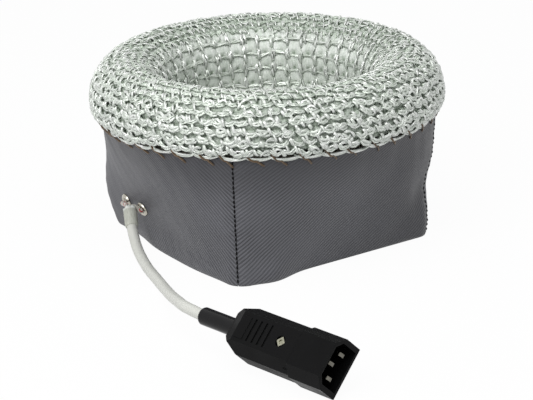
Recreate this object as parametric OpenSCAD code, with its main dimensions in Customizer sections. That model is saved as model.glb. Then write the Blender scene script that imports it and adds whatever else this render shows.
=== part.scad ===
// Flexible heating mantle for a round-bottom flask.
// A crocheted glass-yarn bowl with a rolled rim is sewn to a coated-fabric
// jacket with a square foot. A short mains lead ends in an inline plug.
// Frame: origin on the floor at the middle of the foot, +Z up, and the panel
// with the cord faces -Y.

/* [Bowl] */
// Radius of the bowl, to the crests of its stitches
bowl_r = 66; // [56:1:72]
// Height of the bowl's lowest point above the floor
bowl_floor = 24; // [23:0.5:32]
// Whole thickness of the crocheted wall
knit_t = 5; // [4:0.25:6]
// Height of the stitch ridges on the wall
stitch_h = 2.2; // [1:0.1:3]
// Stitches in one round of the bowl
stitches = 44; // [36:4:52]
// Height of one round of stitches, measured along the wall
round_pitch = 9.4; // [8.6:0.2:11]

/* [Rolled rim] */
// How much narrower the throat is than the ball, on the radius
throat_in = 1.5; // [0.5:0.5:4]
// Half width of the rolled rim
rim_half_w = 22; // [18:0.5:26]
// Height of the rim's crown above the middle of the ball
rim_rise = 26; // [20:0.5:32]
// Radius of the lower outer turn of the roll
rim_turn_r = 10; // [9:0.5:12]
// Drop from the widest ring of the roll to the sewn edge
rim_drop = 7.7; // [6:0.1:8.5]
// Depth of the scallops along the sewn edge
scallop = 1.6; // [0.5:0.1:2.5]

/* [Jacket] */
// Side of the square foot
foot_w = 146; // [136:1:156]
// Corner radius of the foot, seen from above
foot_r = 10; // [6:1:16]
// Thickness of the coated fabric
fabric_t = 1; // [0.8:0.1:1.4]
// How slowly the middle of a panel swells towards the round top
mid_swell = 1.25; // [1:0.05:1.6]
// How slowly a corner swells towards the round top
corner_swell = 0.6; // [0.5:0.05:0.9]

/* [Heating cord] */
// Diameter of the sleeved heating cord
heat_d = 3.6; // [3:0.1:4]
// Turns of the heating cord round the bowl
heat_turns = 7; // [5:1:8]

/* [Eyelets and leads] */
// Height of the eyelets as a share of the jacket's height
eyelet_rise = 0.3; // [0.25:0.01:0.4]
// Angle of the left eyelet from the middle of its panel
eyelet_left_a = -26.4; // [-29:0.2:-24]
// Angle of the right eyelet from the middle of its panel
eyelet_right_a = -14.5; // [-17:0.2:-12]
// Diameter of an eyelet's flange
eyelet_flange_d = 9.6; // [9:0.1:10.4]
// Outer diameter of an eyelet's barrel
eyelet_barrel_d = 5.2; // [4.8:0.1:5.6]
// Bore of an eyelet
eyelet_bore_d = 4.2; // [3.8:0.1:4.4]
// Thickness of the washer behind an eyelet
washer_t = 0.5; // [0.4:0.1:0.8]
// Diameter of a sleeved lead
lead_d = 2.6; // [2.4:0.1:2.8]

/* [Cable and cuff] */
// Diameter of the mains cable
cable_d = 6.6; // [6:0.1:7]
// Wall of the cuff
cuff_wall = 0.8; // [0.6:0.1:1.2]
// How far the cable goes into the cuff
cuff_grip = 6; // [4:0.5:7]

/* [Plug housing] */
// Width of the plug's nose
nose_w = 30; // [29:0.5:32]
// Height of the plug
plug_h = 20; // [19.5:0.5:22]
// Length of the nose in front of the shells
nose_len = 23.5; // [21:0.5:26]
// Length of the two shells
shell_len = 50; // [48:0.5:56]
// How much narrower the shells are than the nose, on each side
shell_step = 1; // [0.5:0.5:1.5]
// Wall of the shells
shell_wall = 2; // [1.6:0.1:2.4]
// Width of the bevel along the top edges, across the plug
bevel_w = 5.4; // [4.6:0.1:5.6]
// Height of the bevel along the top edges
bevel_h = 7; // [6:0.1:7.2]
// Length of the shoulders where the shells narrow
shoulder_len = 9.6; // [8:0.2:12]
// Width of the shells' back end
back_w = 14; // [13:0.5:18]

/* [Plug cavity and pins] */
// Width of the pin cavity
cavity_w = 24; // [23.5:0.1:24.5]
// Height of the pin cavity
cavity_h = 16.5; // [16:0.1:17]
// Corner cut of the cavity, on the earth pin's side
cavity_cut = 4; // [3:0.5:5]
// Depth of the pin cavity
cavity_depth = 17; // [15:0.5:18]
// Distance between the line and neutral pins
pin_span = 14; // [13.6:0.1:14.4]
// Distance of the earth pin from the line of the other two
pin_offset = 4; // [3.6:0.1:4.4]
// Width of a pin blade
pin_w = 4; // [3.6:0.1:4.2]
// Thickness of a pin blade
pin_t = 2; // [1.6:0.1:2.2]
// How far the pins end behind the plug's mouth
pin_recess = 2; // [1:0.5:4]
// Side of a pin's terminal block
block_w = 5; // [4.6:0.2:5.4]
// Length of the terminal block of the line and neutral pins
block_len = 9; // [8:0.5:10]

/* [Plug fasteners and strain relief] */
// Diameter of the cover screw's shank
cover_screw_d = 2.4; // [2:0.1:2.6]
// Distance of the cover screw from the plug's mouth
cover_screw_x = 34; // [33.5:0.5:35]
// Diameter of the boss round the cover screw
boss_d = 7; // [6:0.2:7.6]
// Side of the square nut
nut_w = 4.2; // [4:0.1:4.6]
// Thickness of the square nut
nut_t = 2.4; // [2:0.1:2.6]
// Diameter of the screws of the clamp and the terminals
small_screw_d = 2.5; // [2:0.1:2.6]
// Width of the grip grooves across the cover
groove_w = 1.4; // [1:0.1:2]
// Distance between the grip grooves
groove_pitch = 4; // [3.5:0.1:4.4]
// Outer diameter of the boot
boot_d = 10.2; // [9.6:0.1:11]
// Length of the boot outside the plug
boot_len = 27; // [22:1:32]
// How far the cable goes into the shells
cable_grip = 24; // [23:0.5:25]
// Distance of the cord clamp from the shells' back end
clamp_back = 16; // [15.5:0.5:16.5]
// Length of the cord clamp along the cable
clamp_len = 6; // [5:0.5:7]

/* [Where the plug lies] */
// Place of the plug's mouth along X
plug_x = 228.5; // [228:0.5:229.5]
// Place of the plug's mouth along Y
plug_y = -112.5; // [-113:0.5:-112]
// Turn of the plug, seen from above
plug_yaw = 11; // [10:0.5:12]
// Roll of the plug about its own length
plug_roll = 46; // [45:1:48]

/* [Hidden] */
$fn = 64;
clear = 0.3;              // clearance round soft pieces
fit = 0.1;                // clearance between moulded pieces
shadow = 0.2;             // thin gap that parts two faces
sag = 0.7;                // how far the wall's flat facets sink behind the curve

// ---- heights and radii that follow from the bowl ----
ball_z = bowl_floor + bowl_r;
throat_r = bowl_r - throat_in;
rim_r = throat_r + rim_half_w;
turn_a = asin(rim_drop / rim_turn_r);
turn_r0 = rim_r + rim_half_w - rim_turn_r;
edge_r = turn_r0 + rim_turn_r * cos(turn_a);
jacket_h = ball_z - rim_drop - clear;
jacket_r = edge_r + clear;
foot_half = foot_w / 2;
coil_r = bowl_r + knit_t + 2 * clear + heat_d / 2;
fill_r = coil_r + heat_d / 2 + clear;
back_run_r = coil_r + heat_d + 2 * clear;
fill_top = jacket_h - 1;
pad_bottom = fill_top + clear;

// ---- the plug's own frame: x to the mouth, y across, z to the cover ----
half_h = plug_h / 2;
nose_half = nose_w / 2;
shell_half = nose_half - shell_step;
bevel_z = half_h - bevel_h;
plug_len = nose_len + shell_len;
shoulder_x = plug_len - shoulder_len;
boot_tail = plug_len + boot_len;
collar_w = 1.6;
collar_r = boot_d / 2 + 1.4;
collar_x = plug_len - shell_wall - fit;
pin_z = -pin_offset / 2;
cable_end_x = plug_len - cable_grip;
clamp_x = plug_len - clamp_back;
clamp_span = cable_d + 2 * small_screw_d + 2;
clamp_t = 2;
clamp_z = cable_d / 2 - 1;
plug_axis_z = nose_half * sin(plug_roll) + half_h * cos(plug_roll);

// ---- small vector and path helpers ----
function unit(v) = v / norm(v);
function sum_to(v, n) = n <= 0 ? 0 : v[n - 1] + sum_to(v, n - 1);

// Length travelled along a path at each of its points.
function travelled(p) = [
    for (i = 0, d = 0; i < len(p); d = d + (i + 1 < len(p) ? norm(p[i + 1] - p[i]) : 0), i = i + 1) d
];

// Smooth curve through the points p, with n steps between neighbours.
function smooth(p, n) = [
    for (i = [0 : len(p) - 2])
        let (a = p[max(i - 1, 0)], b = p[i], c = p[i + 1], d = p[min(i + 2, len(p) - 1)])
            for (k = [0 : n - 1])
                let (u = k / n)
                    0.5 * (2 * b + (c - a) * u + (2 * a - 5 * b + 4 * c - d) * u * u
                        + (3 * b - a - 3 * c + d) * u * u * u),
    p[len(p) - 1]
];

// Triangles between ring a (na points) and ring b (nb points). The counts
// are equal, or one is twice the other.
function strip(a, na, b, nb) =
    na == nb
        ? [for (i = [0 : na - 1]) let (j = (i + 1) % na)
            each [[a + i, b + i, a + j], [a + j, b + i, b + j]]]
    : na > nb
        ? [for (i = [0 : nb - 1]) let (j = (i + 1) % nb, m = 2 * i + 1, q = (2 * i + 2) % na)
            each [[a + 2 * i, b + i, a + m], [a + m, b + i, b + j], [a + m, b + j, a + q]]]
        : [for (i = [0 : na - 1]) let (j = (i + 1) % na, m = 2 * i + 1, q = (2 * i + 2) % nb)
            each [[a + i, b + 2 * i, b + m], [a + i, b + m, a + j], [a + j, b + m, b + q]]];

// Closed skin over a chain of rings that starts and ends in a point.
module skin_between_poles(first, rings, last) {
    counts = [for (r = rings) len(r)];
    start = [for (k = [0 : len(rings)]) 1 + sum_to(counts, k)];
    end = start[len(rings)];
    top = len(rings) - 1;
    faces = concat(
        [for (i = [0 : counts[0] - 1]) [0, start[0] + i, start[0] + (i + 1) % counts[0]]],
        [for (k = [0 : top - 1]) each strip(start[k], counts[k], start[k + 1], counts[k + 1])],
        [for (i = [0 : counts[top] - 1]) [start[top] + i, end, start[top] + (i + 1) % counts[top]]]);
    polyhedron(points = concat([first], [for (r = rings) each r], [last]),
        faces = [for (f = faces) [f[0], f[2], f[1]]]);
}

// Round tube of diameter d along the points p, with flat ends.
module tube_along(p, d, sides) {
    n = len(p);
    rings = [
        for (i = [0 : n - 1])
            let (t = unit(p[min(i + 1, n - 1)] - p[max(i - 1, 0)]),
                side = unit(cross([0, 0, 1], t)), up = cross(t, side))
                for (k = [0 : sides - 1])
                    p[i] + d / 2 * (side * cos(360 * k / sides) + up * sin(360 * k / sides))
    ];
    faces = concat(
        [[for (k = [0 : sides - 1]) k]],
        [for (i = [0 : n - 2]) each strip(i * sides, sides, (i + 1) * sides, sides)],
        [[for (k = [0 : sides - 1]) n * sides - 1 - k]]);
    polyhedron(points = rings, faces = faces);
}

// Stand a child on point p with its z axis along v.
module stand_on(p, v) {
    translate(p) rotate([0, acos(v[2] / norm(v)), atan2(v[1], v[0])]) children();
}

// ---- crocheted bowl ----
// The crest line of the wall in (r, z): up the ball, through the throat,
// over the rolled rim and in to the sewn edge.
ball_top_a = -acos(throat_r / bowl_r);
crest = concat(
    [for (a = [-90 : 3 : ball_top_a - 1]) [bowl_r * cos(a), ball_z + bowl_r * sin(a)]],
    [[throat_r, ball_z + bowl_r * sin(ball_top_a)]],
    [for (a = [180 : -6 : 0]) [rim_r + rim_half_w * cos(a), ball_z + rim_rise * sin(a)]],
    [for (a = [6 : 6 : turn_a - 1]) [turn_r0 + rim_turn_r * cos(a), ball_z - rim_turn_r * sin(a)]],
    [[edge_r, ball_z - rim_drop]]);
crest_s = travelled(crest);
crest_len = crest_s[len(crest) - 1];
crest_r_at = [for (i = [0 : len(crest) - 1]) [crest_s[i], crest[i][0]]];
crest_z_at = [for (i = [0 : len(crest) - 1]) [crest_s[i], crest[i][1]]];
function crest_point(s) = [lookup(s, crest_r_at), lookup(s, crest_z_at)];
function crest_out(s) =
    let (t = unit(crest_point(min(s + 1.5, crest_len)) - crest_point(max(s - 1.5, 0))))
        [-t[1], t[0]];
// A point of the wall at depth d below the crest line.
function wall_point(s, d) = crest_point(s) - d * crest_out(s);

rounds = round(crest_len / round_pitch);
half_rounds = 2 * rounds;
columns = 2 * stitches;

// Fewer columns where the round is small, as the stitches are decreased.
function columns_at(r) =
    r > 0.62 * bowl_r ? columns : r > 0.3 * bowl_r ? columns / 2
    : r > 0.12 * bowl_r ? columns / 4 : columns / 8;
// Depth of the relief in column i of half round k: crests stand in every
// second column, shifted by one column from round to round, and the deepest
// points are the holes between four stitches.
function relief(i, k) =
    let (odd = k % 2, same = (i + floor(k / 2)) % 2)
        stitch_h * (odd == 1 ? (same == 0 ? 0 : 0.55) : (same == 0 ? 0.7 : 1));
// The edge chain hangs in scallops, one to a stitch.
function edge_lift(i, k) = k == half_rounds ? (i % 2 == 0 ? 0 : scallop) : 0;

function spin(rz, a) = [rz[0] * cos(a), rz[0] * sin(a), rz[1]];
front_rings = [
    for (k = [1 : half_rounds])
        let (s = crest_len * k / half_rounds, n = columns_at(crest_point(s)[0]))
            [for (i = [0 : n - 1])
                let (rz = wall_point(s, k == half_rounds ? 0 : relief(i, k)))
                    spin([rz[0], rz[1] + edge_lift(i, k)], 360 * i / n)]
];
back_rings = [
    for (k = [half_rounds : -2 : 2])
        let (s = crest_len * k / half_rounds,
            n = min(columns_at(crest_point(s)[0] - knit_t), columns / 2),
            rz = wall_point(s, knit_t))
            [for (i = [0 : n - 1]) spin(rz, 360 * i / n)]
];

module knitted_bowl() {
    color([0.88, 0.9, 0.87])
        skin_between_poles([0, 0, bowl_floor + stitch_h], concat(front_rings, back_rings),
            [0, 0, bowl_floor - knit_t]);
}

// Glass rope that fills the rolled rim.
module rim_padding() {
    inset = knit_t + clear + sag;
    top = [for (a = [180 : -9 : 0])
        [rim_r + (rim_half_w - inset) * cos(a), ball_z + (rim_rise - inset) * sin(a)]];
    turn = [for (a = [15 : 15 : 90])
        [turn_r0 + (rim_turn_r - inset) * cos(a), ball_z - (rim_turn_r - inset) * sin(a)]];
    color([0.93, 0.92, 0.86])
        rotate_extrude()
            polygon(concat([[top[0][0], pad_bottom]], top, turn, [[turn_r0, pad_bottom]]));
}

// ---- heating cord ----
function on_ball(r, tilt, a) =
    [r * cos(tilt) * cos(a), r * cos(tilt) * sin(a), ball_z + r * sin(tilt)];
coil_low = -75;
coil_high = -17;
coil_start_a = -135;
coil_end_a = -106;
tail_run = 3;             // straight end of each tail, in line with its lead
coil_sweep = coil_end_a - coil_start_a + 360 * heat_turns;
coil_steps = 24 * heat_turns;
eyelet_z = eyelet_rise * jacket_h;
tail_tilt = -asin(min(0.97, (ball_z - eyelet_z) / back_run_r));
start_tail_end = on_ball(fill_r + 4, coil_low + 12, coil_start_a - 3) + [0, 0, -1];
end_tail_end = on_ball(back_run_r + 4, tail_tilt, coil_end_a + 3);
start_tail_dir = unit(eye_inside(eyelet_left_a) - start_tail_end);
end_tail_dir = unit(eye_inside(eyelet_right_a) - end_tail_end);
coil_path = concat(
    [start_tail_end, start_tail_end - tail_run * start_tail_dir,
        on_ball(coil_r + 1.2, coil_low + 6, coil_start_a - 4)],
    [for (k = [0 : coil_steps])
        on_ball(coil_r, coil_low + (coil_high - coil_low) * k / coil_steps,
            coil_start_a + coil_sweep * k / coil_steps)],
    [on_ball(back_run_r, coil_high + 4, coil_end_a + 3)],
    [for (k = [0 : 5]) on_ball(back_run_r, coil_high - 3 + (tail_tilt - coil_high + 3) * k / 5, coil_end_a + 4)],
    [end_tail_end - tail_run * end_tail_dir, end_tail_end]);

module heating_cord() {
    color([0.85, 0.8, 0.62]) tube_along(coil_path, heat_d, 6);
}

// ---- jacket ----
// Distance of the foot's outline from the middle in direction a, where a is
// measured from the middle of a panel.
function foot_reach(a) =
    let (b = abs(a), flat = foot_half - foot_r)
        foot_half * tan(b) <= flat ? foot_half / cos(b)
        : let (along = flat * (sin(b) + cos(b)))
            along + sqrt(along * along - 2 * flat * flat + foot_r * foot_r);
// Reach of the jacket at direction a and height share t, less the inset.
function jacket_reach(a, t, inset) =
    let (swell = mid_swell + (corner_swell - mid_swell) * pow(sin(2 * a), 2))
        foot_reach(a) + (jacket_r - foot_reach(a)) * pow(t, swell) - inset;
// Outer point of the panel that faces -Y.
function jacket_point(a, t, inset = 0) =
    let (d = jacket_reach(a, t, inset)) [d * sin(a), -d * cos(a), t * jacket_h];
function jacket_normal(a, t) =
    unit(cross(jacket_point(a + 0.5, t) - jacket_point(a - 0.5, t),
        jacket_point(a, t + 0.01) - jacket_point(a, t - 0.01)));
// The middle of the eyelet at direction a, and the way its bore points.
function eye(a) = jacket_point(a, eyelet_rise);
function eye_out(a) = jacket_normal(a, eyelet_rise);
// Where the lead bends behind the eyelet.
function eye_inside(a) = eye(a) - 3 * eye_out(a);

panel_cols = 16;
panel_rows = 6;
panel_half_a = 45 - 0.1;
// Direction of column i: the columns crowd towards the corners.
function column_a(i) = panel_half_a * sin(90 * (2 * i / panel_cols - 1));

// One panel: a sheet whose foot is straight with rounded ends and whose top
// is an arc of the sewn circle.
module panel() {
    rings = [
        for (j = [0 : panel_rows])
            let (t = j / panel_rows)
                concat(
                    [for (i = [0 : panel_cols])
                        jacket_point(column_a(i), t)],
                    [for (i = [panel_cols : -1 : 0])
                        jacket_point(column_a(i), t, fabric_t)])
    ];
    n = 2 * (panel_cols + 1);
    top = panel_rows * n;
    faces = concat(
        [for (i = [0 : panel_cols - 1]) each [[i, i + 1, n - 2 - i], [i, n - 2 - i, n - 1 - i]]],
        [for (j = [0 : panel_rows - 1]) each strip(j * n, n, (j + 1) * n, n)],
        [for (i = [0 : panel_cols - 1])
            each [[top + i, top + n - 2 - i, top + i + 1], [top + i, top + n - 1 - i, top + n - 2 - i]]]);
    polyhedron(points = [for (r = rings) each r], faces = faces);
}

module at_eyelet(a) {
    stand_on(eye(a), eye_out(a)) children();
}

module panel_front() {
    color([0.4, 0.4, 0.42])
        difference() {
            panel();
            for (a = [eyelet_left_a, eyelet_right_a])
                at_eyelet(a)
                    cylinder(d = eyelet_barrel_d + 2 * fit, h = 8 * fabric_t, center = true);
        }
}
module panel_right() {
    color([0.4, 0.4, 0.42]) rotate([0, 0, 90]) panel();
}
module panel_back() {
    color([0.4, 0.4, 0.42]) rotate([0, 0, 180]) panel();
}
module panel_left() {
    color([0.4, 0.4, 0.42]) rotate([0, 0, 270]) panel();
}

module rounded_square(half, r) {
    square([2 * half, 2 * (half - r)], center = true);
    square([2 * (half - r), 2 * half], center = true);
    for (x = [-1, 1], y = [-1, 1])
        translate([x * (half - r), y * (half - r)]) circle(r);
}

module base_panel() {
    inset = fabric_t + clear;
    color([0.36, 0.36, 0.38])
        linear_extrude(fabric_t) rounded_square(foot_half - inset, foot_r - inset);
}

// ---- insulation ----
module fibre_fill() {
    side = fabric_t + clear + 0.2;
    outer = [for (j = [0 : 8])
        let (z = fabric_t + clear + (fill_top - fabric_t - clear) * j / 8)
            [jacket_reach(0, z / jacket_h, side), z]];
    inner = [for (a = [-90 : 5 : -asin((ball_z - fill_top) / fill_r) - 2])
        [fill_r * cos(a), ball_z + fill_r * sin(a)]];
    rim = [[sqrt(pow(fill_r, 2) - pow(ball_z - fill_top, 2)), fill_top]];
    color([0.9, 0.87, 0.75])
        difference() {
            rotate_extrude()
                polygon(concat([[0, fabric_t + clear]], outer, rim,
                    [for (k = [len(inner) - 1 : -1 : 1]) inner[k]], [[0, ball_z - fill_r]]));
            cord_run([for (k = [0 : 4]) coil_path[k]], heat_d);
            cord_run([for (k = [len(coil_path) - 10 : len(coil_path) - 1]) coil_path[k]], heat_d);
            cord_run([start_tail_end, eye_inside(eyelet_left_a)], lead_d);
            cord_run([end_tail_end, eye_inside(eyelet_right_a)], lead_d);
            for (a = [eyelet_left_a, eyelet_right_a])
                at_eyelet(a)
                    translate([0, 0, -6]) cylinder(d = eyelet_flange_d + 1, h = 12);
        }
}

// The way that a cord takes through the fill, with clearance.
module cord_run(p, d) {
    for (i = [0 : len(p) - 2]) {
        stand_on(p[i], p[i + 1] - p[i])
            cylinder(d = d + 2 * clear, h = norm(p[i + 1] - p[i]));
        translate(p[i]) sphere(d = d + 2.4 * clear);
        translate(p[i + 1]) sphere(d = d + 2.4 * clear);
    }
}

// ---- eyelets and leads ----
module eyelet() {
    barrel = eyelet_barrel_d / 2;
    bore = eyelet_bore_d / 2;
    flange = eyelet_flange_d / 2;
    seat = shadow;
    tail = fabric_t + washer_t + 3 * shadow;
    color([0.75, 0.75, 0.73])
        rotate_extrude()
            polygon([
                [bore, -tail - 0.5], [barrel + 0.5, -tail - 0.5], [barrel + 0.5, -tail],
                [barrel, -tail], [barrel, seat], [flange, seat], [flange, seat + 0.4],
                [flange - 0.4, seat + 1.1], [flange - 1.1, seat + 1.6], [bore + 0.9, seat + 1.6],
                [bore + 0.3, seat + 1.2], [bore, seat + 0.6]]);
}
module eyelet_left() {
    at_eyelet(eyelet_left_a) eyelet();
}
module eyelet_right() {
    at_eyelet(eyelet_right_a) eyelet();
}

module eyelet_washer() {
    color([0.7, 0.7, 0.68])
        translate([0, 0, -fabric_t - washer_t - shadow])
            difference() {
                cylinder(d = eyelet_flange_d, h = washer_t);
                translate([0, 0, -1]) cylinder(d = eyelet_barrel_d + 2 * fit, h = washer_t + 2);
            }
}
module eyelet_washer_left() {
    at_eyelet(eyelet_left_a) eyelet_washer();
}
module eyelet_washer_right() {
    at_eyelet(eyelet_right_a) eyelet_washer();
}

// The cuff stands on the cable's first stretch.
cuff_top = [-22.6, -89.1, 25.5];
cuff_foot = [-13.2, -93.6, 17.9];
cuff_dir = unit(cuff_foot - cuff_top);
cuff_len = norm(cuff_foot - cuff_top);
cuff_side = unit(cross(cuff_dir, [0, 0, 1]));
cable_start = cuff_foot - cuff_grip * cuff_dir;

// A lead leaves its eyelet, bends over the cuff's lip by way of the points
// in over (measured from the eyelet) and ends on the cable's end face.
module lead(a, side, tail_end, over) {
    last = cable_start + side * (cable_d - lead_d - 2 * shadow) / 2 * cuff_side;
    free = cuff_len - cuff_grip;
    outside = smooth(concat([eye(a), eye(a) + 2.8 * eye_out(a)], [for (v = over) eye(a) + v],
        [last - (free + 2.2) * cuff_dir, last - (free - 1) * cuff_dir,
            last - 0.4 * free * cuff_dir, last]), 3);
    color([0.9, 0.88, 0.84])
        tube_along(concat([tail_end, eye_inside(a)], outside), lead_d, 8);
}
module lead_left() {
    lead(eyelet_left_a, 1, start_tail_end, [[1.6, -4.6, -0.4], [6.6, -6, 0.6], [11, -7, 1.9]]);
}
module lead_right() {
    lead(eyelet_right_a, -1, end_tail_end, [[-2.3, -4.1, 1.5]]);
}

module cuff() {
    bore = cable_d / 2 + fit;
    outer = bore + cuff_wall;
    color([0.86, 0.87, 0.84])
        stand_on(cuff_top, cuff_dir)
            rotate_extrude()
                polygon([
                    [bore, 0], [outer - 0.4, 0], [outer, 0.6], [outer, cuff_len * 0.45],
                    [outer - 0.35, cuff_len * 0.55], [outer, cuff_len * 0.65],
                    [outer, cuff_len - 0.8], [outer - 0.5, cuff_len], [bore, cuff_len]]);
}

// ---- cable ----
function plug_point(x) = [
    plug_x - x * cos(plug_yaw), plug_y - x * sin(plug_yaw), plug_axis_z];
cable_route = [
    cuff_foot + 1.5 * cuff_dir,
    [-0.1, -97.9, 8.6],
    [18, -102.4, 3.9],
    [37, -107.2, 3.6],
    [57, -113, 4.8],
    [79, -121.6, 9.8],
    [99, -129, 14.9],
    [112, -132.6, 17.3]
];
cable_path = concat([cable_start, cuff_foot - 2 * cuff_dir],
    smooth(concat(cable_route, [plug_point(boot_tail + 1.5)]), 3),
    [plug_point(boot_tail - 2), plug_point(plug_len), plug_point(cable_end_x)]);

module cable() {
    color([0.82, 0.83, 0.8]) tube_along(cable_path, cable_d, 12);
}

// ---- plug ----
// Put a child from the plug's own frame, mouth at x = 0, where the plug lies.
module lay_plug() {
    translate([plug_x, plug_y, plug_axis_z]) rotate([plug_roll, 0, plug_yaw]) children();
}

// Section across the plug, inset by w, with bevels along the cover's edges.
module plug_section(half, w) {
    k = w * (norm([bevel_w, bevel_h]) - bevel_h) / bevel_w;
    polygon([
        [-half + w, -half_h + w], [half - w, -half_h + w],
        [half - w, bevel_z - (w * (norm([bevel_w, bevel_h]) - bevel_w) / bevel_h - w) - w],
        [half - bevel_w - k, half_h - w], [-half + bevel_w + k, half_h - w],
        [-half + w, bevel_z - (w * (norm([bevel_w, bevel_h]) - bevel_w) / bevel_h - w) - w]]);
}

module along_x(x0, x1) {
    translate([x1, 0, 0]) rotate([90, 0, 90]) linear_extrude(x0 - x1) children();
}

// Solid outline of both shells together.
module shell_body() {
    intersection() {
        along_x(-nose_len - fit, -plug_len) plug_section(shell_half, 0);
        translate([0, 0, -half_h - 1])
            linear_extrude(plug_h + 2)
                polygon([
                    [-nose_len, -shell_half], [-nose_len, shell_half], [-shoulder_x, shell_half],
                    [-plug_len, back_w / 2], [-plug_len, -back_w / 2], [-shoulder_x, -shell_half]]);
        rotate([90, 0, 0])
            translate([0, 0, -nose_w / 2])
                linear_extrude(nose_w)
                    polygon([
                        [-nose_len, -half_h], [-nose_len, half_h], [-shoulder_x - 2, half_h],
                        [-plug_len, bevel_z + 3], [-plug_len, -half_h + 2.4],
                        [-shoulder_x - 3, -half_h]]);
    }
}

// What is taken out of the shells: the wiring space, the spigot's seat, the
// boot's collar and the cable's way in.
spigot_len = 4;
module shell_hollow() {
    along_x(-nose_len + 1, -nose_len - spigot_len - fit)
        square([2 * (shell_half - shell_wall) , 2 * (half_h - 2 * shell_wall)], center = true);
    intersection() {
        along_x(-nose_len - spigot_len, -clamp_x - clamp_len) plug_section(shell_half, shell_wall);
        translate([-plug_len, -nose_half, -half_h + shell_wall])
            cube([plug_len, nose_w, plug_h - 2 * shell_wall - nut_t]);
    }
    rotate([0, -90, 0]) {
        cylinder(d = boot_d + 2 * fit, h = plug_len + 1);
        translate([0, 0, collar_x - collar_w - fit]) cylinder(r = collar_r + fit, h = collar_w + 2 * fit);
    }
}

module lower_half() {
    translate([-plug_len - 1, -nose_w, -plug_h]) cube([plug_len + 2, 2 * nose_w, plug_h]);
}
module upper_half() {
    translate([-plug_len - 1, -nose_w, fit / 2]) cube([plug_len + 2, 2 * nose_w, plug_h]);
}

module at_screw() {
    translate([-cover_screw_x, 0, 0]) children();
}

module plug_base() {
    color([0.13, 0.13, 0.14])
        lay_plug()
            difference() {
                union() {
                    difference() {
                        intersection() {
                            shell_body();
                            lower_half();
                        }
                        shell_hollow();
                    }
                    at_screw() translate([0, 0, -half_h + 1]) cylinder(d = boss_d, h = half_h - 1);
                    difference() {
                        translate([-clamp_x - clamp_len / 2, -clamp_span / 2 - small_screw_d, -half_h + 1])
                            cube([clamp_len, clamp_span + 2 * small_screw_d, half_h - 1.5]);
                        rotate([0, -90, 0]) cylinder(d = cable_d + 2 * fit, h = plug_len);
                    }
                }
                at_screw() {
                    translate([0, 0, -half_h - 1]) cylinder(d = cover_screw_d + 2 * fit, h = plug_h);
                    translate([0, 0, -half_h - 1]) cylinder(d = 2 * cover_screw_d + 2 * fit, h = 3);
                }
                for (y = [-1, 1])
                    translate([-clamp_x, y * clamp_span / 2, -half_h + shell_wall])
                        cylinder(d = small_screw_d + 2 * fit, h = plug_h);
            }
}

groove_x0 = cover_screw_x + 9.4;
module plug_cover() {
    color([0.13, 0.13, 0.14])
        lay_plug()
            difference() {
                union() {
                    difference() {
                        intersection() {
                            shell_body();
                            upper_half();
                        }
                        shell_hollow();
                    }
                    at_screw() translate([0, 0, fit / 2]) cylinder(d = boss_d, h = half_h - 1);
                    translate([-shoulder_x - 1, -6.5, half_h - 0.01]) cube([6, 13, 0.4]);
                }
                at_screw() {
                    translate([0, 0, -1]) cylinder(d = cover_screw_d + 2 * fit, h = plug_h);
                    translate([0, 0, half_h - nut_t]) cylinder(d = nut_w * 1.5, h = nut_t + 1);
                }
                for (k = [0 : 3])
                    translate([-groove_x0 - groove_pitch * k - groove_w / 2, -6.5, half_h - 0.8])
                        cube([groove_w, 13, 2]);
            }
}

// Moulded nose: shroud round the pin cavity, wall behind it and a spigot
// that the shells clamp, hollow to take the terminal blocks.
module cavity_outline(w) {
    half = cavity_w / 2 + w;
    up = cavity_h / 2 + w;
    cut = cavity_cut;
    polygon([[-half, -up], [half, -up], [half, up - cut], [half - cut, up],
        [-half + cut, up], [-half, up - cut]]);
}

module blade_slot(y, z) {
    translate([-cover_screw_x, y - pin_t / 2 - fit, z - pin_w / 2 - fit])
        cube([cover_screw_x, pin_t + 2 * fit, pin_w + 2 * fit]);
}

module plug_nose() {
    color([0.11, 0.11, 0.12])
        lay_plug()
            difference() {
                union() {
                    along_x(0, -nose_len) plug_section(nose_half, 0);
                    along_x(-nose_len + 1, -nose_len - spigot_len)
                        square([2 * (shell_half - shell_wall - fit),
                            2 * (half_h - 2 * shell_wall - fit)], center = true);
                }
                along_x(-nose_len, -nose_len - spigot_len - 1)
                    square([pin_span + block_w + 4 * fit, pin_offset + block_w + 4 * fit], center = true);
                along_x(1, -cavity_depth) cavity_outline(0);
                blade_slot(-pin_span / 2, pin_z);
                blade_slot(pin_span / 2, pin_z);
                blade_slot(0, pin_z + pin_offset);
            }
}

// Flat pin with a terminal block behind the nose's wall.
block_x = nose_len + fit;
earth_block_len = cover_screw_x - boss_d / 2 - 2 * fit - block_x;
module pin(y, z, len) {
    color([0.8, 0.68, 0.4])
        lay_plug()
            translate([0, y, z])
                difference() {
                    union() {
                        intersection() {
                            translate([-block_x - 1, -pin_t / 2, -pin_w / 2])
                                cube([block_x + 1 - pin_recess, pin_t, pin_w]);
                            rotate([90, 0, 0])
                                linear_extrude(pin_t, center = true)
                                    polygon([
                                        [-block_x - 2, -pin_w / 2], [-block_x - 2, pin_w / 2],
                                        [-pin_recess - 1, pin_w / 2], [-pin_recess, pin_w / 2 - 0.8],
                                        [-pin_recess, -pin_w / 2 + 0.8],
                                        [-pin_recess - 1, -pin_w / 2]]);
                        }
                        translate([-block_x - len, -block_w / 2, -block_w / 2])
                            cube([len, block_w, block_w]);
                    }
                    translate([-block_x - len - 1, 0, 0])
                        rotate([0, 90, 0]) cylinder(d = 2.4, h = len - 1);
                    translate([-block_x - len + 2.4, 0, 0])
                        cylinder(d = small_screw_d + 2 * fit, h = block_w);
                }
}
module pin_line() {
    pin(-pin_span / 2, pin_z, block_len);
}
module pin_neutral() {
    pin(pin_span / 2, pin_z, block_len);
}
module pin_earth() {
    pin(0, pin_z + pin_offset, earth_block_len);
}

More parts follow.
